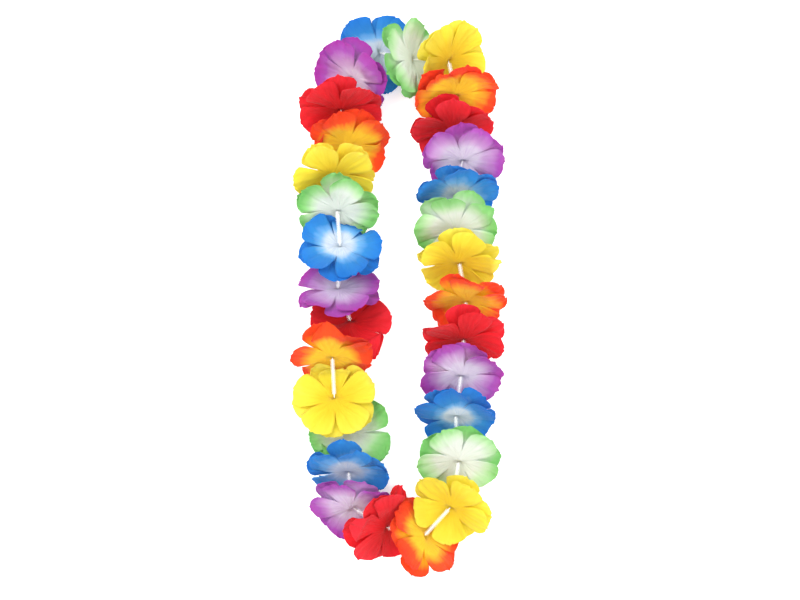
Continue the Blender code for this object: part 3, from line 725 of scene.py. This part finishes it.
# Soft lights: name, place, width and power
LIGHTS = (("key_light", (-0.9, 0.9, 1.9), 1.3, 44.0), ("fill_light", (1.2, -0.6, 1.7), 1.6, 26.0))
STUDIO_LIGHT = 1.32
FLOOR_DROP = 0.0002


def along_weights(row):
    """Weights of the cage's rows at a place along them, on a curve through every row."""
    whole = min(int(row), CAGE_ROWS - 2)
    f = row - whole
    bends = (0.5 * (-f + 2.0 * f ** 2 - f ** 3), 0.5 * (2.0 - 5.0 * f ** 2 + 3.0 * f ** 3),
             0.5 * (f + 4.0 * f ** 2 - 3.0 * f ** 3), 0.5 * (f ** 3 - f ** 2))
    weights = [0.0] * CAGE_ROWS
    for offset, weight in zip((-1, 0, 1, 2), bends):
        place = whole + offset
        if place < 0:
            weights[0] += 2.0 * weight
            weights[1] -= weight
        elif place >= CAGE_ROWS:
            weights[-1] += 2.0 * weight
            weights[-2] -= weight
        else:
            weights[place] += weight
    return weights


def cage_index(lobe, row, column):
    """Number of a corner of a layer's cage: hole ring, disc ring, then each lobe's rows."""
    if row < 2:
        return row * RING + (2 * lobe - 1 + column) % RING
    return 2 * RING + (lobe * len(LOBE_ROWS) + row - 2) * 3 + column


def point_weights(lobe, across, along):
    """How much each corner of the cage moves this point of the blank."""
    weights = np.zeros(CAGE_CORNERS)
    columns = (0.5 * across * (across - 1.0), 1.0 - across ** 2, 0.5 * across * (across + 1.0))
    for row, row_weight in enumerate(along_weights(along)):
        for column, column_weight in enumerate(columns):
            weights[cage_index(lobe, row, column)] += row_weight * column_weight
    return weights


def flat_cage():
    """The cage's corners as the cloth is cut, before it bends."""
    corners = []
    for radius in (HOLE_RADIUS, DISC_RADIUS):
        for i in range(RING):
            angle = 0.5 * LOBE_STEP * i
            corners.append((radius * math.cos(angle), radius * math.sin(angle), 0.0))
    for lobe in range(LOBES):
        axis = LOBE_STEP * lobe
        for reach, width in LOBE_ROWS:
            for out, side in row_pattern(reach, width):
                corners.append((out * math.cos(axis) - side * math.sin(axis),
                                out * math.sin(axis) + side * math.cos(axis), 0.0))
    return np.array(corners)


def tip_row(across):
    """Where a column of the blank ends: a round tip with a shallow scalloped margin."""
    scallop = sum(depth * math.cos(turns * across + start) for depth, turns, start in SCALLOPS)
    return CAGE_ROWS - 1 + TIP_REACH - TIP_ROUND * abs(across) ** 2.5 + scallop


def blank_place(across, part):
    """Place along the cage of a point that is this part of the way from hole to margin."""
    disc_part = DISC_STEPS / (DISC_STEPS + LOBE_STEPS)
    if part <= disc_part:
        return part / disc_part
    out = (part - disc_part) / (1.0 - disc_part)
    return 1.0 + (tip_row(across) - 1.0) * out ** 0.94


def only(piece):
    """Select one object alone and make it active."""
    bpy.ops.object.select_all(action="DESELECT")
    piece.select_set(True)
    bpy.context.view_layer.objects.active = piece


def join(pieces):
    """Join objects into the first of them."""
    only(pieces[0])
    for piece in pieces[1:]:
        piece.select_set(True)
    bpy.ops.object.join()
    return bpy.context.object


def model_blank():
    """Cut the flat blank: one lobe is shaped from a grid, copied round the hole and joined."""
    rows = DISC_STEPS + LOBE_STEPS
    petals = []
    for lobe in range(LOBES):
        bpy.ops.mesh.primitive_grid_add(x_subdivisions=BLANK_COLUMNS, y_subdivisions=rows, size=2.0)
        petal = bpy.context.object
        mesh = petal.data
        for name in MARKS:
            mesh.attributes.new(name, "FLOAT", "POINT")
        for vert in mesh.vertices:
            across, part = vert.co.x, 0.5 * (vert.co.y + 1.0)
            mesh.attributes["lobe"].data[vert.index].value = lobe
            mesh.attributes["across"].data[vert.index].value = across
            mesh.attributes["along"].data[vert.index].value = blank_place(across, part)
        petals.append(petal)
    cut = flat_cage()
    for petal in petals:
        weights = mesh_weights(petal.data)
        petal.data.vertices.foreach_set("co", (weights @ cut).ravel())
    blank = join(petals)
    blank.name = "flat_blank"
    bpy.ops.object.mode_set(mode="EDIT")
    bpy.ops.mesh.select_all(action="SELECT")
    bpy.ops.mesh.remove_doubles(threshold=WELD)
    bpy.ops.mesh.normals_make_consistent(inside=False)
    bpy.ops.object.mode_set(mode="OBJECT")
    if blank.data.polygons[0].normal.z < 0.0:
        blank.data.flip_normals()
    pattern = blank.data.uv_layers.new(name="pattern")
    for loop in blank.data.loops:
        place = blank.data.vertices[loop.vertex_index].co
        pattern.data[loop.index].uv = (0.5 + place.x / PATTERN_SPAN, 0.5 + place.y / PATTERN_SPAN)
    return blank


def point_marks(mesh):
    """Each point's lobe, and its places across that lobe and along the cage."""
    marks = []
    for name in MARKS:
        values = np.zeros(len(mesh.vertices), dtype=np.float32)
        mesh.attributes[name].data.foreach_get("value", values)
        marks.append(values.astype(float))
    return marks


def mesh_weights(mesh):
    """Cage weights of every point; points on a seam of the disc take the mean of both lobes."""
    weights = []
    for lobe, across, along in zip(*point_marks(mesh)):
        lobe = int(round(lobe))
        row = point_weights(lobe, across, along)
        if abs(across) > 0.999 and along < 1.001:
            hand = 1 if across > 0.0 else -1
            row = 0.5 * (row + point_weights((lobe + hand) % LOBES, -across, along))
        weights.append(row)
    return np.array(weights)


def pleat_rise(draw, marks, strength):
    """How far the cloth's fine pleats and its waved margin lift it, in millimetres."""
    lobe, across, along = marks
    out = np.clip((along - 0.6) / (CAGE_ROWS - 1.6), 0.0, 1.0)
    rise = np.zeros_like(across)
    for i in range(LOBES):
        here = np.round(lobe) == i
        side, reach = across[here], out[here]
        lift = np.zeros_like(side)
        for count, size in PLEATS:
            turns = count * draw.uniform(0.85, 1.15)
            lift += size * draw.uniform(0.5, 1.3) * np.sin(
                math.pi * turns * side + draw.uniform(0.0, math.tau))
        lift *= reach ** 0.8
        margin = np.clip((reach - 0.55) / 0.45, 0.0, 1.0) ** 1.6
        turns = draw.uniform(1.6, 2.6)
        lift += MARGIN_WAVE * margin * np.sin(math.pi * turns * side + draw.uniform(0.0, math.tau))
        edge = np.clip((np.abs(side) - 0.6) / 0.4, 0.0, 1.0) ** 1.5 * reach
        lift += SIDE_WAVE * edge * np.sin(math.tau * reach * draw.uniform(1.4, 2.2)
                                    + draw.uniform(0.0, math.tau))
        rise[here] = strength * lift
    return rise


def cut_layer(blank, weights, marks, layer, shift, draw, pleats):
    """One layer of a bloom: a copy of the blank bent to its cage, then pleated."""
    piece = blank.copy()
    piece.data = blank.data.copy()
    bpy.context.scene.collection.objects.link(piece)
    cage = np.array([tuple(corner) for corner in layer.cage]) + np.array([*shift, 0.0])
    places = weights @ cage
    mesh = piece.data
    mesh.vertices.foreach_set("co", places.ravel())
    mesh.update()
    normals = np.zeros(3 * len(mesh.vertices), dtype=np.float32)
    mesh.vertex_normals.foreach_get("vector", normals)
    places = places + normals.reshape(-1, 3) * pleat_rise(draw, marks, pleats)[:, None]
    lowest = 0.5 * FABRIC_THICK + FLOOR_CLEAR + (LAYER_STEP if layer.side > 0 else 0.0)
    places[:, 2] = np.maximum(places[:, 2], lowest)
    mesh.vertices.foreach_set("co", (places * MM).ravel())
    mesh.update()
    print_off_centre(mesh, draw)
    if layer.side < 0:
        mesh.flip_normals()
    return piece


def print_off_centre(mesh, draw):
    """The colour fade is printed before the cloth is cut, so it is never quite centred."""
    across, along = (draw.uniform(-PRINT_OFF, PRINT_OFF) for _ in range(2))
    spread = draw.uniform(*PRINT_SPREAD)
    pattern = mesh.uv_layers["pattern"].data
    places = np.zeros(2 * len(pattern), dtype=np.float32)
    pattern.foreach_get("uv", places)
    places = (places.reshape(-1, 2) - 0.5) * spread + 0.5 + np.array([across, along])
    pattern.foreach_set("uv", places.astype(np.float32).ravel())


def join_layers(pair, name, thickness):
    """Join a bloom's two layers by the short sleeve of cloth at the hole, and thicken them."""
    bloom = join(pair)
    bloom.name = name
    bloom.data.name = name
    along = bloom.data.attributes["along"].data
    for edge in bloom.data.edges:
        edge.select = all(along[i].value < 0.001 for i in edge.vertices)
    for polygon in bloom.data.polygons:
        polygon.select = False
    for vert in bloom.data.vertices:
        vert.select = along[vert.index].value < 0.001
    bpy.ops.object.mode_set(mode="EDIT")
    bpy.ops.mesh.select_mode(type="EDGE")
    bpy.ops.mesh.bridge_edge_loops()
    bpy.ops.mesh.select_all(action="SELECT")
    bpy.ops.mesh.normals_make_consistent(inside=False)
    bpy.ops.object.mode_set(mode="OBJECT")
    for name in MARKS:
        bloom.data.attributes.remove(bloom.data.attributes[name])
    cloth = bloom.modifiers.new("cloth", "SOLIDIFY")
    cloth.thickness = thickness
    cloth.offset = 0.0
    cloth.use_even_offset = False
    bpy.ops.object.modifier_apply(modifier="cloth")
    bpy.ops.object.shade_smooth()
    return bloom


def string_route(blooms):
    """Straight inside each straw, with a small bend inside each bloom's hole."""
    route = []
    for i, bloom in enumerate(blooms):
        before, after = blooms[i - 1].hub, blooms[(i + 1) % BLOOM_COUNT].hub
        stand = straw_standoff(turn_half_angle(before, bloom.hub, after)) + 0.6
        back, ahead = bloom.ways
        route += [bloom.hub + back * stand, bloom.hub, bloom.hub + ahead * stand]
    return route


def even_points(route, spacing, closed):
    """Points an even step apart along a broken line."""
    ends = [*route, route[0]] if closed else list(route)
    lengths = [(b - a).length for a, b in zip(ends, ends[1:])]
    count = max(2, int(round(sum(lengths) / spacing)))
    step = sum(lengths) / count
    points, leg, gone = [], 0, 0.0
    for i in range(count if closed else count + 1):
        want = min(i * step, sum(lengths) - 1e-6)
        while gone + lengths[leg] < want:
            gone += lengths[leg]
            leg += 1
        points.append(ends[leg].lerp(ends[leg + 1], (want - gone) / lengths[leg]))
    return points


def twisted_ply(points, phase, closed):
    """One ply's course: a helix round the string's course."""
    count = len(points)
    course = []
    for i, point in enumerate(points):
        after = points[(i + 1) % count] if closed or i + 1 < count else point
        before = points[i - 1] if closed or i > 0 else point
        along = (after - before).normalized()
        across = along.cross(UP).normalized()
        upward = across.cross(along)
        angle = phase + math.tau * i / PLY_STEPS
        course.append(point + PLY_OFFSET * (across * math.cos(angle) + upward * math.sin(angle)))
    return course


def cord_mesh(name, courses, closed):
    """Tubes along several courses as one mesh, through curve objects that are then converted."""
    curve = bpy.data.curves.new(name, "CURVE")
    curve.dimensions = "3D"
    curve.bevel_depth = PLY_RADIUS * MM
    curve.bevel_resolution = 1
    curve.use_fill_caps = True
    for course in courses:
        spline = curve.splines.new("POLY")
        spline.points.add(len(course) - 1)
        for knot, place in zip(spline.points, course):
            knot.co = (*(place * MM), 1.0)
        spline.use_cyclic_u = closed
    cord = bpy.data.objects.new(name, curve)
    bpy.context.scene.collection.objects.link(cord)
    only(cord)
    bpy.ops.object.convert(target="MESH")
    bpy.ops.object.shade_smooth()
    return bpy.context.object


def feed(material, node, inputs):
    """Give a node's inputs plain values, or link them to the sockets that they take."""
    for name, value in inputs.items():
        if isinstance(value, bpy.types.NodeSocket):
            material.node_tree.links.new(value, node.inputs[name])
        else:
            node.inputs[name].default_value = value


def add_node(material, kind, place, inputs=None, **settings):
    node = material.node_tree.nodes.new(f"ShaderNode{kind}")
    node.location = place
    for name, value in settings.items():
        setattr(node, name, value)
    feed(material, node, inputs or {})
    return node


def maths(material, operation, place, *values):
    """The result of a Math node whose inputs are sockets or plain numbers."""
    inputs = dict(enumerate(values))
    return add_node(material, "Math", place, inputs, operation=operation).outputs[0]


def noise(material, vector, scale, place, detail=2.0):
    """Soft random values over a vector."""
    inputs = {"Scale": scale, "Detail": detail, "Vector": vector}
    return add_node(material, "TexNoise", place, inputs).outputs["Fac"]


def colour_ramp(material, stops, value, place):
    """Colours along a value, each stop at its place."""
    node = add_node(material, "ValToRGB", place, {"Fac": value})
    elements = node.color_ramp.elements
    while len(elements) < len(stops):
        elements.new(0.5)
    for element, (at, colour) in zip(elements, stops):
        element.position = at
        element.color = (*colour, 1.0)
    return node.outputs["Color"]


def relief(material, height, strength, distance, place):
    """Fine bumps on the surface, this many metres high."""
    inputs = {"Height": height, "Strength": strength, "Distance": distance}
    return add_node(material, "Bump", place, inputs).outputs["Normal"]


def new_material(name):
    """A material with its shader, and the place of a point of the piece."""
    material = bpy.data.materials.new(name)
    material.use_nodes = True
    place = add_node(material, "TexCoord", (-1500, -400)).outputs["Object"]
    return material, material.node_tree.nodes["Principled BSDF"], place


def fabric_material(name, stops, streak_and_shade_tint):
    """Thin woven cloth with a printed fade from the middle of the flower to its margin,
    darkened by streaks that are partly dye and partly painted shade along the pleats, and by
    broad patches of painted shade.
    """
    material, shader, place = new_material(name)
    pattern = add_node(material, "UVMap", (-1500, 0), uv_map="pattern").outputs["UV"]
    centred = add_node(material, "VectorMath", (-1300, 0), {0: pattern, 1: (0.5, 0.5, 0.0)},
                       operation="SUBTRACT").outputs["Vector"]
    reach = add_node(material, "VectorMath", (-1100, 0), {0: centred},
                     operation="LENGTH").outputs["Value"]
    split = add_node(material, "SeparateXYZ", (-1100, -160), {0: centred}).outputs
    angle = maths(material, "ARCTAN2", (-920, -160), split["Y"], split["X"])
    blotch = noise(material, place, 42.0, (-1100, -420))
    # Broad noise that makes some lobes darker than others: painted shade
    painted_shade_patches = noise(material, place, 20.0, (-1100, -700), detail=1.0)
    spokes = add_node(material, "CombineXYZ", (-740, -160), {
        "X": maths(material, "MULTIPLY", (-830, -100), angle, SPOKES),
        "Y": maths(material, "MULTIPLY", (-830, -260), reach, 7.0),
        "Z": maths(material, "MULTIPLY", (-830, -340), blotch, 2.0)})
    streak = noise(material, spokes.outputs[0], 1.0, (-560, -160), detail=3.0)
    wander = maths(material, "MULTIPLY_ADD", (-380, -300), blotch, WANDER, -0.5 * WANDER)
    feather = maths(material, "MULTIPLY_ADD", (-380, -160), streak, FEATHER, -0.5 * FEATHER)
    edge = maths(material, "ADD", (-290, -60), reach, wander)
    edge = maths(material, "ADD", (-200, -160), edge, feather)
    fade = colour_ramp(material, stops, edge, (-20, 0))
    # Where streaks and patches run low the print is darkened: partly dye streaks, partly painted
    # shade along the pleats and over whole lobes
    mottle_and_painted_shade = maths(material, "ADD", (-290, -420), streak, painted_shade_patches)
    mottle_and_painted_shade = maths(material, "MULTIPLY", (-200, -420), mottle_and_painted_shade, 0.5)
    streak_and_shade_stops = ((0.40, streak_and_shade_tint), (0.58, (1.0, 1.0, 1.0)))
    shade = colour_ramp(material, streak_and_shade_stops, mottle_and_painted_shade, (60, -260))
    colour = add_node(material, "Mix", (260, 0), {"Factor": 1.0, "A": fade, "B": shade},
                      data_type="RGBA", blend_type="MULTIPLY").outputs["Result"]
    weave = [add_node(material, "TexWave", (-200, height), {"Scale": THREADS, "Vector": pattern},
                      bands_direction=direction).outputs["Fac"]
             for direction, height in (("X", -760), ("Y", -960))]
    threads = maths(material, "MULTIPLY", (20, -600),
                    maths(material, "ADD", (-80, -600), *weave), 0.16)
    rise = maths(material, "ADD", (200, -500), threads, streak)
    normal = relief(material, rise, 0.7, 0.0016, (380, -500))
    shader.location = (620, 0)
    feed(material, shader, {
        "Base Color": colour, "Normal": normal, "Roughness": 0.68, "Specular IOR Level": 0.18,
        "Sheen Weight": 0.14, "Sheen Roughness": 0.4})
    glow = add_node(material, "BsdfTranslucent", (620, -420), {"Color": colour, "Normal": normal})
    blend = add_node(material, "MixShader", (900, 0), {
        "Fac": 0.45, 1: shader.outputs[0], 2: glow.outputs[0]})
    output = material.node_tree.nodes["Material Output"]
    output.location = (1120, 0)
    feed(material, output, {"Surface": blend.outputs[0]})
    return material


def straw_material():
    """Clear plastic, a little milky, whose rim shows more than its middle: partly the milky
    plastic seen edge-on, partly a painted highlight down each side of the straw.
    """
    material, shader, place = new_material("clear_straw")
    lines = noise(material, place, 900.0, (-700, 0))
    # The straw is more opaque towards its edges as seen, so its white shows as a line down each
    # side: partly the plastic seen edge-on, partly a painted highlight
    rim = add_node(material, "LayerWeight", (-700, -500), {"Blend": 0.3}).outputs["Facing"]
    rim_alpha_and_highlight = add_node(material, "MapRange", (-450, -500), {
        "Value": rim, "From Min": 0.35, "From Max": 0.96, "To Min": 0.13, "To Max": 0.62})
    feed(material, shader, {
        "Base Color": (0.95, 0.96, 0.98, 1.0), "Roughness": 0.12, "IOR": 1.49, "Coat Weight": 0.5,
        "Normal": relief(material, lines, 0.06, 0.0003, (-300, -200)),
        "Alpha": rim_alpha_and_highlight.outputs["Result"]})
    return material


def string_material():
    """White spun cord with a soft fuzz of shade between its threads."""
    material, shader, place = new_material("white_string")
    fuzz = noise(material, place, 2600.0, (-700, 0))
    tones = ((0.0, (0.72, 0.71, 0.67)), (1.0, (0.93, 0.92, 0.89)))
    feed(material, shader, {
        "Base Color": colour_ramp(material, tones, fuzz, (-450, 0)), "Roughness": 0.85,
        "Normal": relief(material, fuzz, 0.4, 0.0002, (-300, -250))})
    return material


def floor_material():
    """Plain pale ground that glows a little, as a lit table does."""
    material, shader, place = new_material("pale_floor")
    mottle_and_painted_shade = noise(material, place, 3.0, (-700, 0))
    tones = ((0.0, (0.90, 0.90, 0.90)), (1.0, (0.93, 0.93, 0.93)))
    feed(material, shader, {
        "Base Color": colour_ramp(material, tones, mottle_and_painted_shade, (-450, 0)), "Roughness": 0.9,
        "Specular IOR Level": 0.1, "Emission Color": (1.0, 1.0, 1.0, 1.0),
        "Emission Strength": 0.35})
    return material


# Each cloth's printed fade, from the middle of the flower to its margin, and the tint of its
# deeper streaks and patches, which are partly dye and partly painted shade on pleats and lobes
FADES = {
    "green": (((0.18, (0.86, 0.89, 0.84)), (0.255, (0.66, 0.84, 0.58)), (0.325, (0.38, 0.72, 0.29)),
               (0.385, (0.24, 0.61, 0.18))), (0.90, 0.96, 0.90)),
    "blue": (((0.11, (0.80, 0.85, 0.90)), (0.17, (0.26, 0.58, 0.87)), (0.24, (0.05, 0.33, 0.72)),
              (0.385, (0.02, 0.235, 0.68))), (0.80, 0.87, 0.96)),
    "purple": (((0.13, (0.84, 0.76, 0.86)), (0.21, (0.70, 0.42, 0.71)), (0.30, (0.51, 0.12, 0.54)),
                (0.385, (0.49, 0.06, 0.45))), (0.90, 0.80, 0.94)),
    "red": (((0.10, (0.78, 0.012, 0.016)), (0.20, (0.82, 0.014, 0.024)), (0.30, (0.84, 0.02, 0.032)),
             (0.385, (0.86, 0.03, 0.05))), (0.90, 0.80, 0.82)),
    "orange": (((0.18, (0.98, 0.70, 0.04)), (0.235, (0.98, 0.43, 0.03)), (0.29, (0.93, 0.11, 0.02)),
                (0.385, (0.89, 0.06, 0.015))), (0.96, 0.88, 0.8)),
    "yellow": (((0.10, (0.90, 0.68, 0.03)), (0.20, (0.91, 0.76, 0.05)), (0.30, (0.91, 0.79, 0.07)),
                (0.385, (0.91, 0.81, 0.11))), (0.95, 0.95, 0.85)),
}


def margin_colour(name):
    """The colour that one cloth's print reaches at the margin, as a property."""
    return bpy.props.FloatVectorProperty(
        name=name.capitalize(), description=f"Colour at the margin of the {name} flowers",
        default=FADES[name][0][-1][1], size=3, min=0.0, max=1.0, subtype="COLOR")


class LeiColours(bpy.types.PropertyGroup):
    """Colours that a user may change before building."""

    green: margin_colour("green")
    blue: margin_colour("blue")
    purple: margin_colour("purple")
    red: margin_colour("red")
    orange: margin_colour("orange")
    yellow: margin_colour("yellow")


class LeiSizes(bpy.types.PropertyGroup):
    """Sizes and strengths that a user may change before building."""

    pleats: bpy.props.FloatProperty(
        name="Pleats", description="How strongly the cloth is pleated and waved",
        default=1.0, min=0.0, max=2.0, subtype="FACTOR")
    cloth_thickness: bpy.props.FloatProperty(
        name="Cloth", description="Thickness of the flowers' cloth",
        default=FABRIC_THICK * MM, precision=5, unit="LENGTH")
    straw_wall: bpy.props.FloatProperty(
        name="Straw wall", description="Thickness of the straws' wall",
        default=STRAW_WALL * MM, precision=5, unit="LENGTH")
    view_height: bpy.props.FloatProperty(
        name="Camera height", description="Height of the camera over the surface",
        default=VIEW_HEIGHT, unit="LENGTH")
    floor_size: bpy.props.FloatProperty(
        name="Floor", description="Width of the plain floor", default=6.0, unit="LENGTH")


class LEI_OT_flowers(bpy.types.Operator):
    """Lay the thirty flowers in their order and dress each in its own cloth"""

    bl_idname = "lei.flowers"
    bl_label = "Flowers"

    def execute(self, context):
        sizes, colours = context.scene.lei_sizes, context.scene.lei_colours
        blooms = lay_blooms()
        shift = middle_shift(blooms)
        blank = model_blank()
        weights = mesh_weights(blank.data)
        marks = point_marks(blank.data)
        fabric = {}
        for name, (stops, streak_and_shade_tint) in FADES.items():
            margin = (stops[-1][0], tuple(getattr(colours, name)))
            fabric[name] = fabric_material(f"{name}_fabric", (*stops[:-1], margin), streak_and_shade_tint)
        for bloom in blooms:
            draw = random.Random(SEED * 7 + bloom.number)
            pair = [cut_layer(blank, weights, marks, layer, shift, draw, sizes.pleats)
                    for layer in bloom.layers]
            name = f"flower_{bloom.number + 1:02d}_{bloom.colour}"
            piece = join_layers(pair, name, sizes.cloth_thickness)
            piece.data.materials.clear()
            piece.data.materials.append(fabric[bloom.colour])
            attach(piece, ROOT)
            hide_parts(bloom.name())
        bpy.data.objects.remove(blank)
        return {"FINISHED"}


def middle_gaps(box, points):
    """How far the middle of a solid's box lies from that of its points, across and along."""
    low, high = box
    gaps = []
    for axis in range(2):
        places = [point[axis] for point in points]
        gaps.append(0.5 * (low[axis] + high[axis]) / MM - 0.5 * (min(places) + max(places)))
    return gaps


def middle_shift(blooms):
    """How far the solids were slid so that the origin is under the middle of their box."""
    gaps = [middle_gaps(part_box(bloom.name()),
                        [corner for layer in bloom.layers for corner in layer.cage])
            for bloom in blooms]
    return [float(np.median(column)) for column in zip(*gaps)]


def straw_course(solid):
    """The middle, direction and length of a straw's solid."""
    corners = np.array([vert.co for vert in solid.data.vertices])
    middle = corners.mean(axis=0)
    along = Vector(np.linalg.svd(corners - middle)[2][0]).normalized()
    reach = (corners - middle) @ np.array(along)
    low, high = float(reach.min()), float(reach.max())
    return Vector(middle) + along * (0.5 * (high + low)), along, high - low


class LEI_OT_straws(bpy.types.Operator):
    """Make the clear straws between the flowers"""

    bl_idname = "lei.straws"
    bl_label = "Straws"

    def execute(self, context):
        plastic = straw_material()
        for number in range(1, BLOOM_COUNT):
            node = f"straw_{number:02d}"
            centre, along, length = straw_course(NODES[node])
            bpy.ops.object.select_all(action="DESELECT")
            bpy.ops.mesh.primitive_cylinder_add(
                vertices=FINE_STRAW_SIDES, radius=STRAW_RADIUS * MM, depth=length, location=centre,
                rotation=along.to_track_quat("Z", "Y").to_euler(), end_fill_type="NOTHING")
            straw = bpy.context.object
            straw.name = f"clear_{node}"
            bpy.ops.object.transform_apply(location=True, rotation=True, scale=True)
            wall = straw.modifiers.new("wall", "SOLIDIFY")
            wall.thickness = context.scene.lei_sizes.straw_wall
            wall.offset = -1.0
            bpy.ops.object.modifier_apply(modifier="wall")
            bpy.ops.object.shade_smooth_by_angle(angle=math.radians(40.0))
            straw.data.materials.append(plastic)
            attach(straw, ROOT)
            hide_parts(node)
        return {"FINISHED"}


class LEI_OT_string(bpy.types.Operator):
    """Twist the string's three plies through the straws and tie its knot"""

    bl_idname = "lei.string"
    bl_label = "String"

    def execute(self, context):
        blooms = place_blooms()
        shift = route_shift(blooms)
        for bloom in blooms:
            bloom.hub += shift
        cord = string_material()
        points = even_points(string_route(blooms), PLY_TURN / PLY_STEPS, True)
        plies = [twisted_ply(points, math.tau * i / PLY_COUNT, True) for i in range(PLY_COUNT)]
        string = cord_mesh("twisted_string", plies, True)
        knot, ways = tail_courses(blooms)
        tails = []
        for way in ways:
            line = even_points([knot, knot + way * TAIL_LENGTH], PLY_TURN / PLY_STEPS, False)
            tails += [twisted_ply(line, math.tau * i / PLY_COUNT, False) for i in range(PLY_COUNT)]
        tails = cord_mesh("string_tails", tails, False)
        loops = knot_loops(knot, (blooms[0].hub - blooms[-1].hub).normalized())
        wraps = cord_mesh("string_knot", loops, False)
        string = join([string, tails, wraps])
        string.data.materials.clear()
        string.data.materials.append(cord)
        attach(string, ROOT)
        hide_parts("string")
        return {"FINISHED"}


def knot_loops(middle, along):
    """The knot's two wraps and the turn that locks them, each ply thick."""
    across = along.cross(UP).normalized()
    upward = across.cross(along)
    loops = []
    for offset, lean in KNOT_WRAPS:
        ring = []
        for i in range(KNOT_STEPS + 1):
            angle = math.tau * i / KNOT_STEPS
            ring.append(middle + along * (offset + lean * math.sin(angle)) + KNOT_RADIUS
                        * (across * math.cos(angle) + upward * math.sin(angle)))
        loops.append(ring)
    return loops


def route_shift(blooms):
    """How far the string's solid was slid with the rest, from its box."""
    return Vector((*middle_gaps(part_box("string"), string_route(blooms)), 0.0))


class LEI_OT_stage(bpy.types.Operator):
    """Set the floor, the soft lights and the camera over the lei"""

    bl_idname = "lei.stage"
    bl_label = "Stage"

    def execute(self, context):
        sizes = context.scene.lei_sizes
        shift = route_shift(place_blooms())
        bpy.ops.object.select_all(action="DESELECT")
        bpy.ops.mesh.primitive_plane_add(size=sizes.floor_size, location=(0.0, 0.0, -FLOOR_DROP))
        floor = bpy.context.object
        floor.name = "floor"
        bpy.ops.object.transform_apply(location=True, rotation=True, scale=True)
        floor.data.materials.append(floor_material())
        centre = (Vector((*VIEW_CENTRE, CLOTH_LEVEL)) + shift) * MM
        bpy.ops.object.camera_add(location=(centre.x, centre.y, sizes.view_height),
                                  rotation=(0.0, 0.0, 0.0))
        camera = bpy.context.object
        camera.name = "camera"
        camera.data.sensor_width = SENSOR_WIDTH
        camera.data.lens = SENSOR_WIDTH * (sizes.view_height - CLOTH_LEVEL * MM) / VIEW_WIDTH
        context.scene.camera = camera
        for name, place, size, power in LIGHTS:
            bpy.ops.object.light_add(type="AREA", location=place)
            lamp = bpy.context.object
            lamp.name = name
            lamp.data.size = size
            lamp.data.energy = power
            lamp.rotation_euler = (-Vector(place)).to_track_quat("-Z", "Y").to_euler()
        world = bpy.data.worlds.new("studio")
        world.use_nodes = True
        background = world.node_tree.nodes["Background"]
        background.inputs["Color"].default_value = (1.0, 1.0, 1.0, 1.0)
        background.inputs["Strength"].default_value = STUDIO_LIGHT
        context.scene.world = world
        context.scene.view_settings.view_transform = "Standard"
        return {"FINISHED"}


class LEI_PT_build(bpy.types.Panel):
    """Lists the steps that build the lei"""

    bl_idname = "LEI_PT_build"
    bl_label = "Lei"
    bl_space_type = "VIEW_3D"
    bl_region_type = "UI"
    bl_category = "Lei"

    def draw(self, context):
        column = self.layout.column()
        for name in ("pleats", "cloth_thickness", "straw_wall", "view_height", "floor_size"):
            column.prop(context.scene.lei_sizes, name)
        for name in COLOUR_ORDER:
            column.prop(context.scene.lei_colours, name)
        for step in STEPS:
            column.operator(step.bl_idname)


STEPS = (LEI_OT_flowers, LEI_OT_straws, LEI_OT_string, LEI_OT_stage)
CLASSES = (LeiSizes, LeiColours, *STEPS, LEI_PT_build)


def register():
    for kind in CLASSES:
        bpy.utils.register_class(kind)
    bpy.types.Scene.lei_sizes = bpy.props.PointerProperty(type=LeiSizes)
    bpy.types.Scene.lei_colours = bpy.props.PointerProperty(type=LeiColours)


def unregister():
    del bpy.types.Scene.lei_colours
    del bpy.types.Scene.lei_sizes
    for kind in reversed(CLASSES):
        bpy.utils.unregister_class(kind)


def main():
    register()
    bpy.ops.object.select_all(action="DESELECT")
    bpy.ops.lei.flowers()
    bpy.ops.lei.straws()
    bpy.ops.lei.string()
    bpy.ops.lei.stage()


if __name__ == "__main__":
    main()
